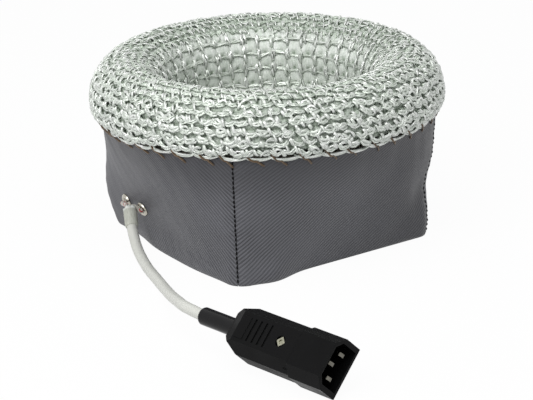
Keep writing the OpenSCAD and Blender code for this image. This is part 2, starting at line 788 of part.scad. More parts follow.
module slotted_screw(d, head_d, head_h, length) {
    difference() {
        union() {
            cylinder(d = head_d, h = head_h);
            translate([0, 0, head_h - 0.01]) cylinder(d = d, h = length);
        }
        translate([-head_d, -0.3, -1]) cube([2 * head_d, 0.6, 1.5]);
    }
}

// Screw from the base's underside up into the square nut of the cover.
module cover_screw() {
    color([0.75, 0.75, 0.72])
        lay_plug()
            at_screw()
                translate([0, 0, -half_h + 0.2])
                    slotted_screw(cover_screw_d, 2 * cover_screw_d, 1.7, plug_h - 3);
}

module cover_nut() {
    color([0.8, 0.76, 0.6])
        lay_plug()
            at_screw()
                translate([0, 0, half_h - nut_t + shadow / 2])
                    difference() {
                        translate([0, 0, nut_t / 2 - 0.3]) rotate([0, 0, 45])
                            cube([nut_w, nut_w, nut_t - 0.6], center = true);
                        translate([0, 0, -1]) cylinder(d = cover_screw_d + fit, h = nut_t + 2);
                    }
}

module cord_clamp() {
    color([0.7, 0.7, 0.68])
        lay_plug()
            translate([-clamp_x, 0, 0])
                difference() {
                    translate([-clamp_len / 2, -clamp_span / 2 - small_screw_d, clamp_z])
                        cube([clamp_len, clamp_span + 2 * small_screw_d, clamp_t]);
                    rotate([0, 90, 0]) cylinder(d = cable_d + 2 * fit, h = clamp_len + 2, center = true);
                    for (y = [-1, 1])
                        translate([0, y * clamp_span / 2, -1])
                            cylinder(d = small_screw_d + 2 * fit, h = plug_h);
                }
}

module clamp_screws() {
    color([0.75, 0.75, 0.72])
        lay_plug()
            for (y = [-1, 1])
                translate([-clamp_x, y * clamp_span / 2, clamp_z + clamp_t + 1 + shadow / 2])
                    mirror([0, 0, 1])
                        slotted_screw(small_screw_d, small_screw_d * 1.8, 1, 8);
}

module terminal_screws() {
    color([0.75, 0.75, 0.72])
        lay_plug()
            for (p = [[-pin_span / 2, pin_z, block_len], [pin_span / 2, pin_z, block_len],
                    [0, pin_z + pin_offset, earth_block_len]])
                translate([-block_x - p[2] + 2.4, p[0], p[1] + block_w / 2])
                    mirror([0, 0, 1])
                        slotted_screw(small_screw_d, small_screw_d, 1, block_w / 2 - 1.2);
}

// Rubber boot: a collar held by the shells and a plain round sleeve outside.
module plug_boot() {
    bore = cable_d / 2 + fit;
    r = boot_d / 2;
    color([0.07, 0.07, 0.08])
        lay_plug()
            rotate([0, -90, 0])
                rotate_extrude()
                    polygon([
                        [bore, collar_x - collar_w], [collar_r, collar_x - collar_w],
                        [collar_r, collar_x], [r, collar_x], [r, boot_tail - 1],
                        [r - 0.3, boot_tail - 0.3], [r - 1, boot_tail], [bore, boot_tail]]);
}

knitted_bowl();
rim_padding();
heating_cord();
fibre_fill();
base_panel();
panel_front();
panel_right();
panel_back();
panel_left();
eyelet_left();
eyelet_right();
eyelet_washer_left();
eyelet_washer_right();
lead_left();
lead_right();
cuff();
cable();
plug_boot();
plug_base();
plug_cover();
plug_nose();
pin_line();
pin_neutral();
pin_earth();
cover_screw();
cover_nut();
cord_clamp();
clamp_screws();
terminal_screws();
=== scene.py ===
"""Dresses the flexible heating mantle: yarn bowl, sewn jacket, leads, cable and inline plug."""

from math import acos, asin, cos, pi, radians, sin

import bpy
import numpy as np
from mathutils import Matrix, Vector


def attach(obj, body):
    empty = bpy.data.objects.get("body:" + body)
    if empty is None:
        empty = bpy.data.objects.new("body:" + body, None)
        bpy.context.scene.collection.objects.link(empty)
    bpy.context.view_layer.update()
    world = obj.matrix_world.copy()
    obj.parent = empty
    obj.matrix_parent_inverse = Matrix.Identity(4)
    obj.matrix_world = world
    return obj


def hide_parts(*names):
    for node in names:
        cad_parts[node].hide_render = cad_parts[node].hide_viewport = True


bl_info = {
    "name": "Flask heating mantle",
    "version": (1, 0, 0),
    "blender": (4, 5, 0),
    "location": "View3D > Sidebar > Mantle",
    "description": "Builds the pieces and finishes of a crocheted flask heating mantle",
    "category": "Object",
}

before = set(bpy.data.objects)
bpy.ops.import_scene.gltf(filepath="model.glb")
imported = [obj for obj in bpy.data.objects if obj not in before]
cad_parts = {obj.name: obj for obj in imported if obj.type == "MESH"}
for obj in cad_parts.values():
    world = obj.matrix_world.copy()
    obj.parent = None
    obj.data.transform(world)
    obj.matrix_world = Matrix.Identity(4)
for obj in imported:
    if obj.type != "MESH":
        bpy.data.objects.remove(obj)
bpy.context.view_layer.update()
MM = 0.001             # a millimetre in metres
PER_METRE = 1000       # millimetres in a metre

# ---- sizes shared with the solids, in millimetres ----
BALL_R = 66.0          # radius of the bowl's ball, and the height of its middle
BALL_Z = 90.0
THROAT_R = 64.5        # radius of the throat, where the ball goes over into the roll
RIM_HALF_W = 22.0      # half the width of the roll
RIM_R = THROAT_R + RIM_HALF_W
RIM_RISE = 26.0        # height of the roll over the ball's middle
TURN_R = 10.0          # radius of the turn under the roll
TURN_R0 = RIM_R + RIM_HALF_W - TURN_R
RIM_DROP = 7.7         # drop of the sewn edge under the ball's middle
WALL_T = 5.0           # thickness of the bowl's wall
FOOT_HALF = 73.0       # half the width of the square foot, and the radius of its corners
FOOT_R = 10.0
JACKET_H = 82.0        # height of the jacket, and below it the radius of its round top
JACKET_R = TURN_R0 + TURN_R * cos(asin(RIM_DROP / TURN_R)) + 0.3
SWELL_SIDE = 1.25      # how the panels round off towards the top, at a side's middle
SWELL_CORNER = 0.6     # and at a corner
EYELET_RISE = 0.3      # share of the jacket's height
EYELET_ANGLES = (-26.4, -14.5)    # degrees from the front panel's middle

CUFF_TOP = np.array([-22.6, -89.1, 25.5])
CUFF_FOOT = np.array([-13.2, -93.6, 17.9])
CUFF_DIR = (CUFF_FOOT - CUFF_TOP) / np.linalg.norm(CUFF_FOOT - CUFF_TOP)
CUFF_LEN = float(np.linalg.norm(CUFF_FOOT - CUFF_TOP))
CUFF_GRIP = 6.0        # length of cable inside the cuff
CABLE_D = 6.6          # thickness of the cable
LEAD_D = 2.6           # thickness of a sleeved lead
PLUG_MOUTH = (228.5, -112.5)
PLUG_YAW = 11.0        # degrees from the X axis, seen from above
PLUG_ROLL = 46.0       # degrees about the plug's axis
PLUG_AXIS_Z = 15 * sin(radians(PLUG_ROLL)) + 10 * cos(radians(PLUG_ROLL))
PLUG_LEN = 73.5        # length of the plug from its mouth, without the boot
BOOT_TAIL = PLUG_LEN + 27.0
CABLE_ROUTE = [
    (-0.1, -97.9, 8.6), (18, -102.4, 3.9), (37, -107.2, 3.6), (57, -113, 4.8),
    (79, -121.6, 9.8), (99, -129, 14.9), (112, -132.6, 17.3),
]

# ---- sizes of the dress alone, in millimetres ----
ROLL_ROWS = 11         # rows of dense loops on the roll
ROLL_PITCH = 5.6       # height of such a row along the wall
ROLL_EDGE = 2.3        # strip between them and the sewn edge
FULL_STITCH = 9.0      # width from which a stitch takes the yarn's full size
PLY_FILL = 0.98        # a ply's width is the strand's times PLY_FILL / plies ** PLY_SHRINK
PLY_SHRINK = 0.8
PLY_THICK = 0.74       # a ply's thickness as a share of the strand's
PLY_LIFT = 0.12        # how far the plies are lifted off the strand's middle line
PLY_SHIFT = 0.37       # step in strand number between plies, so that each has its own streaks
PANEL_HALF = 44.9      # degrees from a panel's middle to its seam, a little short of the corner
FABRIC_SLANT = 1.05    # length of the fabric up a panel per height
SEAM_FOOT = 2.0        # height of the first seam stitch
SEAM_THREAD = 1.15     # width of the seam's thread


# ---------------------------------------------------------------- mesh helpers

def unit(v):
    """v divided by its length, along the last axis."""
    return v / np.maximum(np.linalg.norm(v, axis=-1, keepdims=True), 1e-12)


def smooth_step(x, low, high):
    """0 below low, 1 above high, and 3u^2 - 2u^3 between."""
    u = np.clip((x - low) / (high - low), 0, 1)
    return u * u * (3 - 2 * u)


def bell(x, middle, width, power=2):
    """1 at the middle, 1/e one width away: exp(-((x - middle) / width)^power), for even powers."""
    return np.exp(-((x - middle) / width) ** power)


def ripple(x, y, seed, scale, octaves):
    """Sum of sine waves in fixed random directions, three to an octave and each octave weaker
    than the last: a smooth noise of about -1 to 1."""
    rng = np.random.default_rng(seed)
    each, fade, spread_out = 3, 0.6, 1.6
    total = np.zeros(np.broadcast(x, y).shape)
    weight = 0.0
    for k in range(octaves * each):
        f = 2 ** (k // each) / scale
        a, phase = rng.uniform(0, 2 * pi, 2)
        w = fade ** (k // each)
        total = total + w * np.sin(2 * pi * f * (x * cos(a) + y * sin(a)) + phase)
        weight += w
    return total / weight * spread_out


def make_object(name, points_mm, quads, tris, attributes, material, soft=True):
    """A mesh object from points in millimetres, quads and, unless None, triangles, with point
    attributes of three numbers each. The object sits at the origin."""
    mesh = bpy.data.meshes.new(name)
    faces = [np.asarray(quads, dtype=np.int32).reshape(-1, 4)]
    if tris is not None:
        faces.append(np.asarray(tris, dtype=np.int32).reshape(-1, 3))
    points = np.asarray(points_mm, dtype=np.float64).reshape(-1, 3) * MM
    loops = np.concatenate([f.ravel() for f in faces])
    counts = np.concatenate([np.full(len(f), f.shape[1], dtype=np.int32) for f in faces])
    mesh.vertices.add(len(points))
    mesh.vertices.foreach_set("co", points.ravel())
    mesh.loops.add(len(loops))
    mesh.loops.foreach_set("vertex_index", loops)
    mesh.polygons.add(len(counts))
    mesh.polygons.foreach_set("loop_start", np.concatenate([[0], np.cumsum(counts)[:-1]]).astype(np.int32))
    mesh.polygons.foreach_set("loop_total", counts)
    mesh.polygons.foreach_set("use_smooth", np.full(len(counts), bool(soft)))
    for key, values in attributes.items():
        layer = mesh.attributes.new(key, "FLOAT_VECTOR", "POINT")
        layer.data.foreach_set("vector", np.asarray(values, dtype=np.float32).reshape(-1, 3).ravel())
    mesh.update(calc_edges=True)
    mesh.validate()
    obj = bpy.data.objects.new(name, mesh)
    bpy.context.scene.collection.objects.link(obj)
    mesh.materials.append(material)
    return obj


def grid_faces(rows, cols, wrap_cols=False, first=0, flip=False):
    """Quads of a grid whose points are stored row by row."""
    r = np.arange(rows - 1)[:, None]
    c = np.arange(cols if wrap_cols else cols - 1)[None, :]
    d = (c + 1) % cols
    f = np.stack([r * cols + c, r * cols + d, (r + 1) * cols + d, (r + 1) * cols + c], -1)
    f = f.reshape(-1, 4) + first
    return f[:, ::-1] if flip else f


def length_along(lines):
    """Length from the start of each line of points to each of its points."""
    step = np.linalg.norm(np.diff(lines, axis=-2), axis=-1)
    return np.concatenate([np.zeros((*step.shape[:-1], 1)), np.cumsum(step, axis=-1)], axis=-1)


def end_fans(first, last, pole, sides):
    """Triangles that close a tube: from the ring that starts at index first to the point pole,
    and from the ring that starts at last to the point after it."""
    k = np.arange(sides)
    j = (k + 1) % sides
    return np.concatenate([np.stack([np.full(sides, pole), first + k, first + j], -1),
                           np.stack([np.full(sides, pole + 1), last + j, last + k], -1)])


def strands(lines, ups, widths, heights, sides):
    """Closed flattened tubes. lines is (n, rings, 3): the middle line of n strands; ups has the
    same shape and points out of the cloth; widths and heights are (n, rings). Point k of a ring
    is line + width/2 cos(a) side + height/2 sin(a) up, with a = 2 pi (k + 1/2) / sides, and
    each end is closed by a fan. Returns points, quads, triangles and the attribute strand =
    (length along, place across, strand number) in millimetres."""
    n, rings, _ = lines.shape
    t = unit(np.gradient(lines, axis=1))
    side = unit(np.cross(t, ups))
    up = np.cross(side, t)
    a = 2 * pi * (np.arange(sides) + 0.5) / sides
    ca, sa = np.cos(a)[None, None, :, None], np.sin(a)[None, None, :, None]
    w = widths[:, :, None, None] / 2
    h = heights[:, :, None, None] / 2
    body = lines[:, :, None, :] + w * ca * side[:, :, None, :] + h * sa * up[:, :, None, :]
    ends = lines[:, [0, -1], :]
    points = np.concatenate([body.reshape(n, rings * sides, 3), ends], axis=1)
    length = length_along(lines)
    number = np.arange(n)[:, None, None] + np.zeros((n, rings, sides))
    data = np.stack([
        length[:, :, None] + np.zeros((n, rings, sides)),
        (w * ca)[..., 0] + np.zeros((n, rings, sides)),
        number], -1).reshape(n, rings * sides, 3)
    tips = np.stack([length[:, [0, -1]], np.zeros((n, 2)), number[:, :2, 0]], -1)
    data = np.concatenate([data, tips], axis=1)
    quad = grid_faces(rings, sides, wrap_cols=True, flip=True)
    fan = end_fans(0, (rings - 1) * sides, rings * sides, sides)
    offset = (np.arange(n) * (rings * sides + 2))[:, None, None]
    return (points.reshape(-1, 3), (quad[None] + offset).reshape(-1, 4),
            (fan[None] + offset).reshape(-1, 3), data.reshape(-1, 3))


def plied(lines, ups, widths, heights, plies, period, rng, sides):
    """Each strand as plies twisted about its middle line. Ply k of a strand follows
    line + a cos(p) side + b sin(p) up with p = 2 pi (k / plies + length / period) + a random
    start, a and b being what is left of the half width and half thickness beside the ply."""
    t = unit(np.gradient(lines, axis=1))
    side = unit(np.cross(t, ups))
    up = np.cross(side, t)
    length = length_along(lines)
    start = rng.uniform(0, 2 * pi, (len(lines), 1))
    ply_w, ply_h = widths * PLY_FILL / plies ** PLY_SHRINK, heights * PLY_THICK
    made = []
    for k in range(plies):
        p = 2 * pi * (k / plies + length / period) + start
        a = ((widths - ply_w) / 2 * np.cos(p))[..., None]
        b = ((heights - ply_h) / 2 * np.sin(p) + PLY_LIFT)[..., None]
        part = strands(lines + a * side + b * up, ups, ply_w, ply_h, sides)
        part[3][:, 2] += k * PLY_SHIFT
        made.append(part)
    return made


def join_parts(parts):
    """Joins several groups of points, quads, triangles and data to one."""
    start, points, quads, tris, data = 0, [], [], [], []
    for p, q, t, d in parts:
        points.append(p)
        quads.append(q + start)
        tris.append(t + start)
        data.append(d)
        start += len(p)
    return np.concatenate(points), np.concatenate(quads), np.concatenate(tris), np.concatenate(data)


def spline(points, steps):
    """Smooth cubic through rows of any length, with that many steps from one to the next: the
    slope at a row is half the way between its neighbours, as in the solids."""
    p = np.asarray(points, dtype=float)
    out = []
    for i in range(len(p) - 1):
        a, b, c, d = p[max(i - 1, 0)], p[i], p[i + 1], p[min(i + 2, len(p) - 1)]
        u = (np.arange(steps) / steps)[:, None]
        out.append(0.5 * (2 * b + (c - a) * u + (2 * a - 5 * b + 4 * c - d) * u ** 2
                          + (3 * b - a - 3 * c + d) * u ** 3))
    return np.concatenate(out + [p[-1:]])


def curve_through(keys, count, steps=8):
    """Smooth curve through the key rows, as count evenly spread values of each column."""
    fine = spline(keys, steps)
    pick = np.linspace(0, len(fine) - 1, count)
    return [np.interp(pick, np.arange(len(fine)), column) for column in fine.T]


def resample(points, count):
    """count points at equal distances along a line of points."""
    d = length_along(points)
    s = np.linspace(0, d[-1], count)
    return np.stack([np.interp(s, d, points[:, k]) for k in range(3)], -1)


def round_tube(line, radius, sides):
    """A round tube about a line of points, radius a number or one per point, closed by fans.
    Rings follow a frame that turns as little as possible. The attribute is (length along,
    cosine and sine of the place round the tube)."""
    t = unit(np.gradient(line, axis=0))
    side = np.zeros_like(line)
    s = unit(np.cross(t[0], [0, 0, 1.0]))
    for i in range(len(line)):
        s = unit(s - np.dot(s, t[i]) * t[i])
        side[i] = s
    up = np.cross(side, t)
    r = (np.zeros(len(line)) + radius)[:, None, None]
    a = 2 * pi * np.arange(sides) / sides
    rings = line[:, None, :] + r * (np.cos(a)[None, :, None] * side[:, None, :]
                                    + np.sin(a)[None, :, None] * up[:, None, :])
    n = len(line)
    points = np.concatenate([rings.reshape(-1, 3), line[:1], line[-1:]])
    length = length_along(line)
    data = np.stack(np.broadcast_arrays(length[:, None], np.cos(a), np.sin(a)), -1).reshape(-1, 3)
    data = np.concatenate([data, [[0, 0, 0], [length[-1], 0, 0]]])
    fan = end_fans(0, (n - 1) * sides, n * sides, sides)
    return points, grid_faces(n, sides, wrap_cols=True, flip=True), fan, data


# ---------------------------------------------------------------- the wall of the bowl

def wall_profile():
    """The crest line of the wall as (s, r, z, normal r, normal z): up the ball, through the
    throat, over the rolled rim (half an ellipse) and round the lower turn to the sewn edge."""
    arc, turn_arc, whole = 160, 30, 900    # points on the ball and the roll, on the turn, in all
    a = np.linspace(-pi / 2, -acos(THROAT_R / BALL_R), arc)
    ball = np.stack([BALL_R * np.cos(a), BALL_Z + BALL_R * np.sin(a)], -1)
    a = np.linspace(pi, 0, arc)
    roll = np.stack([RIM_R + RIM_HALF_W * np.cos(a), BALL_Z + RIM_RISE * np.sin(a)], -1)
    a = np.linspace(0.02, asin(RIM_DROP / TURN_R), turn_arc)
    turn = np.stack([TURN_R0 + TURN_R * np.cos(a), BALL_Z - TURN_R * np.sin(a)], -1)
    line = np.concatenate([ball, roll, turn])
    s = length_along(line)
    even = np.linspace(0, s[-1], whole)
    r, z = np.interp(even, s, line[:, 0]), np.interp(even, s, line[:, 1])
    tr, tz = np.gradient(r), np.gradient(z)
    size = np.hypot(tr, tz)
    return even, r, z, -tz / size, tr / size


WALL = wall_profile()
WALL_LEN = float(WALL[0][-1])


def wall_at(s, theta, h):
    """Points of the wall at distance s along the crest line, direction theta and height h above
    the crest: (R cos theta, R sin theta, Z) with R = r(s) + h nr(s) and Z = z(s) + h nz(s)."""
    s, theta, h = np.broadcast_arrays(s, theta, h)
    r, z, nr, nz = [np.interp(s, WALL[0], WALL[k]) for k in (1, 2, 3, 4)]
    reach = r + h * nr
    return np.stack([reach * np.cos(theta), reach * np.sin(theta), z + h * nz], -1)


def wall_normal(s, theta):
    """The way out of the wall at (s, theta)."""
    s, theta = np.broadcast_arrays(s, theta)
    nr, nz = np.interp(s, WALL[0], WALL[3]), np.interp(s, WALL[0], WALL[4])
    return np.stack([nr * np.cos(theta), nr * np.sin(theta), nz], -1)


def wall_radius(s):
    """Radius of the crest line at s."""
    return np.interp(s, WALL[0], WALL[1])


# ---------------------------------------------------------------- the jacket

def foot_reach(a):
    """Distance of the rounded square foot from the middle in direction a (degrees)."""
    b = np.radians(np.abs(a))
    flat = FOOT_HALF - FOOT_R
    along = flat * (np.sin(b) + np.cos(b))
    corner = along + np.sqrt(np.maximum(along ** 2 - 2 * flat ** 2 + FOOT_R ** 2, 0))
    return np.where(FOOT_HALF * np.tan(b) <= flat, FOOT_HALF / np.cos(b), corner)


def jacket_point(a, t, out=0.0):
    """Outer point of the panel that faces -Y, at direction a (degrees) and height share t:
    the reach goes from the foot's to the round top's as t^swell."""
    a, t, out = np.broadcast_arrays(a, t, out)
    swell = SWELL_SIDE + (SWELL_CORNER - SWELL_SIDE) * np.sin(np.radians(2 * a)) ** 2
    reach = foot_reach(a)
    d = reach + (JACKET_R - reach) * np.power(np.maximum(t, 0), swell) + out
    ar = np.radians(a)
    return np.stack([d * np.sin(ar), -d * np.cos(ar), t * JACKET_H], -1)


def turned(points, quarter):
    """points turned about Z by that many quarter turns."""
    c, s = [(1, 0), (0, 1), (-1, 0), (0, -1)][quarter % 4]
    return np.stack([c * points[..., 0] - s * points[..., 1],
                     s * points[..., 0] + c * points[..., 1], points[..., 2]], -1)


# ---------------------------------------------------------------- material helper

class Finish:
    """Builds one node material. Calls return sockets, so they nest. A pattern by place counts
    in metres, and a pattern by the attribute strand, tube or cloth in millimetres."""

    def __init__(self, name):
        self.material = bpy.data.materials.get(name) or bpy.data.materials.new(name)
        self.material.use_nodes = True
        self.tree = self.material.node_tree
        self.tree.nodes.clear()
        self.out = self.tree.nodes.new("ShaderNodeOutputMaterial")
        self.shader = self.tree.nodes.new("ShaderNodeBsdfPrincipled")
        self.tree.links.new(self.shader.outputs[0], self.out.inputs["Surface"])

    def node(self, kind, **settings):
        """A node of that kind, with its settings."""
        n = self.tree.nodes.new("ShaderNode" + kind)
        for key, value in settings.items():
            setattr(n, key, value)
        return n

    def feed(self, socket, value):
        """Links a socket or sets a value; None leaves the socket as it is."""
        if isinstance(value, bpy.types.NodeSocket):
            self.tree.links.new(value, socket)
        elif value is not None:
            if hasattr(value, "__len__") and len(value) == 3 and len(socket.default_value) == 4:
                value = (*value, 1)
            socket.default_value = value

    def place(self):
        """The place on the object, in metres."""
        return self.node("TexCoord").outputs["Object"]

    def attribute(self, name):
        """A point attribute of three numbers."""
        return self.node("Attribute", attribute_type="GEOMETRY", attribute_name=name).outputs["Vector"]

    def scaled(self, vector, factors):
        """The vector times the factors, number by number."""
        n = self.node("VectorMath", operation="MULTIPLY")
        self.feed(n.inputs[0], vector)
        self.feed(n.inputs[1], factors)
        return n.outputs[0]

    def split(self, vector):
        """The three numbers of a vector."""
        n = self.node("SeparateXYZ")
        self.feed(n.inputs[0], vector)
        return n.outputs[0], n.outputs[1], n.outputs[2]

    def join(self, x, y, z):
        """A vector of three numbers."""
        n = self.node("CombineXYZ")
        for k, v in enumerate((x, y, z)):
            self.feed(n.inputs[k], v)
        return n.outputs[0]

    def math(self, kind, a, b=0.0, c=0.0):
        """One step of arithmetic."""
        n = self.node("Math", operation=kind)
        for k, v in enumerate((a, b, c)):
            self.feed(n.inputs[k], v)
        return n.outputs[0]

    def noise(self, vector, scale, detail, rough=0.5, warp=0.0):
        """Cloudy noise, mostly 0.3 to 0.7."""
        n = self.node("TexNoise")
        self.feed(n.inputs["Vector"], vector)
        self.feed(n.inputs["Scale"], scale)
        self.feed(n.inputs["Detail"], detail)
        self.feed(n.inputs["Roughness"], rough)
        self.feed(n.inputs["Distortion"], warp)
        return n.outputs[0]

    def cells(self, vector, scale):
        """Distance to the nearest of many scattered dots."""
        n = self.node("TexVoronoi")
        self.feed(n.inputs["Vector"], vector)
        self.feed(n.inputs["Scale"], scale)
        return n.outputs["Distance"]

    def span(self, value, low, high, to_low=0.0, to_high=1.0, smooth=True):
        """to_low at low, to_high at high, eased or straight between, and held beyond."""
        n = self.node("MapRange", interpolation_type="SMOOTHSTEP" if smooth else "LINEAR")
        for key, v in (("Value", value), ("From Min", low), ("From Max", high),
                       ("To Min", to_low), ("To Max", to_high)):
            self.feed(n.inputs[key], v)
        return n.outputs["Result"]

    def mix(self, share, a, b):
        """(1 - share) a + share b."""
        n = self.node("Mix", data_type="RGBA")
        self.feed(n.inputs[0], share)
        self.feed(n.inputs[6], a)
        self.feed(n.inputs[7], b)
        return n.outputs[2]

    def bump(self, height, depth_mm, strength, normal=None):
        """The normal of a surface raised by the height, on top of another normal."""
        n = self.node("Bump")
        self.feed(n.inputs["Height"], height)
        self.feed(n.inputs["Distance"], depth_mm * MM)
        self.feed(n.inputs["Strength"], strength)
        self.feed(n.inputs["Normal"], normal)
        return n.outputs[0]

    def set(self, **values):
        """Feeds the surface shader by short names and returns the material."""
        names = {"color": "Base Color", "rough": "Roughness", "metal": "Metallic", "normal": "Normal",
                 "specular": "Specular IOR Level", "sheen": "Sheen Weight",
                 "sheen_rough": "Sheen Roughness", "coat": "Coat Weight",
                 "coat_rough": "Coat Roughness"}
        for key, value in values.items():
            self.feed(self.shader.inputs[names[key]], value)
        return self.material


def wave(f, value, period):
    """Sine of value with that period, from -1 to 1."""
    return f.math("SINE", f.math("MULTIPLY", value, 2 * pi / period))


# ---------------------------------------------------------------- finishes

def yarn_finish(s):
    """Flat glass yarn: silvery filaments run along each strand, tops are near white, the broad fields are
    grey green and the lower flanks get a grey-green painted shade. depth holds the height over the crest
    line and the share that is a broad field."""
    f = Finish("glass_yarn")
    strand = f.attribute("strand")
    _, across, number = f.split(strand)
    height, field, _ = f.split(f.attribute("depth"))
    wander = f.noise(f.scaled(strand, (0.16, 1.2, 1)), 1.0, 3, 0.6)
    threads = wave(f, f.math("ADD", across, f.math("MULTIPLY", wander, 0.8)), s.filament * PER_METRE)
    streaks = f.noise(f.scaled(strand, (0.22, 1.6, 1)), 1.0, 2, 0.5)
    pale = f.mix(f.span(streaks, 0.35, 0.68), s.yarn_pale, s.yarn_bright)
    broad = f.mix(f.span(streaks, 0.35, 0.75, 0, 0.7), s.yarn_green, s.yarn_field)
    own = f.noise(f.join(f.math("MULTIPLY", number, 7.3), 0.5, 0.5), 1.0, 1)
    tone = f.mix(field, pale, broad)
    tone = f.mix(f.span(own, 0.42, 0.68, 0, 0.5), tone, s.yarn_field)
    # Painted shade: the lower a strand lies under the crest line, the more it turns to the dark grey green
    # of the depths.
    tone = f.mix(f.span(height, 0.3, -1.4, 0, 0.85), tone, s.painted_depth_shade)
    tone = f.mix(f.span(threads, 0.1, -0.95, 0, 0.3), tone, s.yarn_green)
    ridge = f.bump(f.math("MULTIPLY_ADD", threads, 0.4, wander), 0.16, 0.8)
    return f.set(color=tone, rough=0.27, metal=0.28, specular=0.8, normal=ridge, coat=0.3, coat_rough=0.15)


def ground_finish(s):
    """The broad green-grey yarn between the loops: filaments run down each lump and the lumps' tops are
    pale; painted shade darkens the lumps' lower parts and makes the holes between them dark green, and a
    painted shadow turns the ground near black by the sewn edge. strand holds the place across and along,
    and the number of the round."""
    f = Finish("yarn_ground")
    lump, loose, gap = f.split(f.attribute("depth"))
    streaks = f.noise(f.scaled(f.attribute("strand"), (1.1, 0.16, 1)), 1.0, 3, 0.65, 0.4)
    broad = f.noise(f.place(), 160, 2, 0.5)
    field = f.mix(loose, s.yarn_field, s.yarn_green)
    lit = f.mix(f.span(loose, 0.0, 1.0, 0.75, 0.35, smooth=False), field, s.yarn_bright)
    tone = f.mix(f.span(streaks, 0.36, 0.66), field, lit)
    tone = f.mix(f.span(broad, 0.35, 0.65, 0, 0.3), tone, s.yarn_green)
    # Painted shade on the lower parts of each lump.
    tone = f.mix(f.span(lump, 0.62, 0.25, 0, 0.8), tone, s.painted_depth_shade)
    # Painted shade: the holes between the lumps turn dark green.
    tone = f.mix(f.span(lump, 0.34, 0.05), tone, s.painted_hole_shade)
    # Painted shadow: the ground turns near black at the sewn edge, where gap is 1.
    tone = f.mix(gap, tone, (0.01, 0.011, 0.01))
    return f.set(color=tone, rough=0.33, specular=0.7, normal=f.bump(streaks, 0.9, 0.9))


def twill_finish(s, name, lean, end_shade):
    """Coated twill: diagonal ribs at the given lean, finer cross yarns, a satin coat with pale specks, a
    painted shadow under the sewn edge and, by the given share, painted shade towards the panel's right end."""
    f = Finish(name)
    cloth = f.attribute("cloth")
    x, y, _ = f.split(cloth)
    ribs_at = f.math("ADD", f.math("MULTIPLY", x, cos(lean)), f.math("MULTIPLY", y, sin(lean)))
    cross_at = f.math("ADD", f.math("MULTIPLY", x, -sin(lean)), f.math("MULTIPLY", y, cos(lean)))
    drift = f.noise(cloth, 0.09, 3, 0.55)
    ribs = wave(f, f.math("ADD", ribs_at, f.math("MULTIPLY", drift, 0.9)), s.rib_pitch * PER_METRE)
    yarns = wave(f, cross_at, 0.95)
    grain = f.math("MULTIPLY_ADD", yarns, 0.35, ribs)
    cloud = f.noise(cloth, 0.035, 3, 0.6)
    speck = f.noise(cloth, 2.6, 2, 0.6)
    tone = f.mix(f.span(grain, -1.2, 1.2), s.jacket_dark, s.jacket_light)
    tone = f.mix(f.span(cloud, 0.35, 0.75, 0, 0.35), tone, s.jacket_light)
    tone = f.mix(f.span(speck, 0.60, 0.78, 0, 0.34), tone, s.jacket_bloom)
    # Painted shadow: darker towards the sewn edge at the top, where the roll shades the fabric.
    tone = f.mix(f.span(y, 50, 84, 0, 0.75), tone, s.jacket_dark)
    # Painted shade: darker towards the panel's right end, by the given share.
    tone = f.mix(f.span(x, -20, 70, 0, end_shade), tone, s.jacket_dark)
    rough = f.math("MULTIPLY_ADD", cloud, 0.22, 0.36)
    bump = f.bump(grain, 0.09, 0.8, f.bump(cloud, 0.8, 0.35))
    return f.set(color=tone, rough=rough, specular=0.34, normal=bump, sheen=0.06, sheen_rough=0.4)


def plain_twill_finish(s):
    """The same coated fabric on a carried-over solid, by place: x + y grows 1.414 times as fast
    as the distance across the ribs."""
    f = Finish("jacket_base")
    x, y, _ = f.split(f.place())
    ribs = wave(f, f.math("ADD", x, y), s.rib_pitch * 1.414)
    tone = f.mix(f.span(ribs, -1, 1), s.jacket_dark, s.jacket_light)
    return f.set(color=tone, rough=0.5, specular=0.4, normal=f.bump(ribs, 0.08, 0.8), sheen=0.3)


def nickel_finish():
    """Polished nickel with faint brushing and dull patches."""
    f = Finish("eyelet_nickel")
    haze = f.noise(f.place(), 500, 3, 0.6)
    fine = f.noise(f.place(), 4000, 2, 0.5)
    tone = f.mix(haze, (0.30, 0.275, 0.22), (0.62, 0.60, 0.54))
    return f.set(color=tone, metal=1.0, rough=f.span(haze, 0.3, 0.7, 0.10, 0.26),
                 normal=f.bump(fine, 0.02, 0.3))


def steel_finish():
    """Zinc-plated steel, clouded with olive patches."""
    f = Finish("screw_steel")
    haze = f.noise(f.place(), 700, 3, 0.6)
    tone = f.mix(haze, (0.20, 0.20, 0.13), (0.47, 0.46, 0.38))
    return f.set(color=tone, metal=1.0, rough=f.span(haze, 0.3, 0.7, 0.22, 0.42),
                 normal=f.bump(haze, 0.05, 0.4))


def pin_finish():
    """Plated brass gone dull, with darker and paler patches."""
    f = Finish("pin_metal")
    haze = f.noise(f.place(), 600, 3, 0.6)
    tone = f.mix(haze, (0.085, 0.08, 0.065), (0.20, 0.195, 0.17))
    return f.set(color=tone, metal=1.0, rough=f.span(haze, 0.3, 0.7, 0.16, 0.3),
                 normal=f.bump(haze, 0.03, 0.3))


def braid_finish(s):
    """Braided lead sleeve: two families of spiral yarns, and a red tracer that winds along."""
    f = Finish("lead_sleeve")
    along, ca, sa = f.split(f.attribute("tube"))
    turn = f.math("ARCTAN2", sa, ca)
    round_it, along_it = f.math("MULTIPLY", turn, 6), f.math("MULTIPLY", along, 5.2)
    left = f.math("SINE", f.math("ADD", round_it, along_it))
    right = f.math("SINE", f.math("SUBTRACT", round_it, along_it))
    weave = f.math("MAXIMUM", left, right)
    fuzz = f.noise(f.place(), 2500, 3, 0.6)
    tone = f.mix(f.span(weave, -0.2, 1.0), (0.40, 0.38, 0.33), s.lead_pale)
    band = f.math("SINE", f.math("ADD", turn, f.math("MULTIPLY", along, 0.9)))
    tone = f.mix(f.span(band, 0.80, 0.93, 0, 0.9), tone, s.tracer)
    return f.set(color=tone, rough=0.5, specular=0.4,
                 normal=f.bump(f.math("MULTIPLY_ADD", fuzz, 0.5, weave), 0.12, 0.8), sheen=0.2)


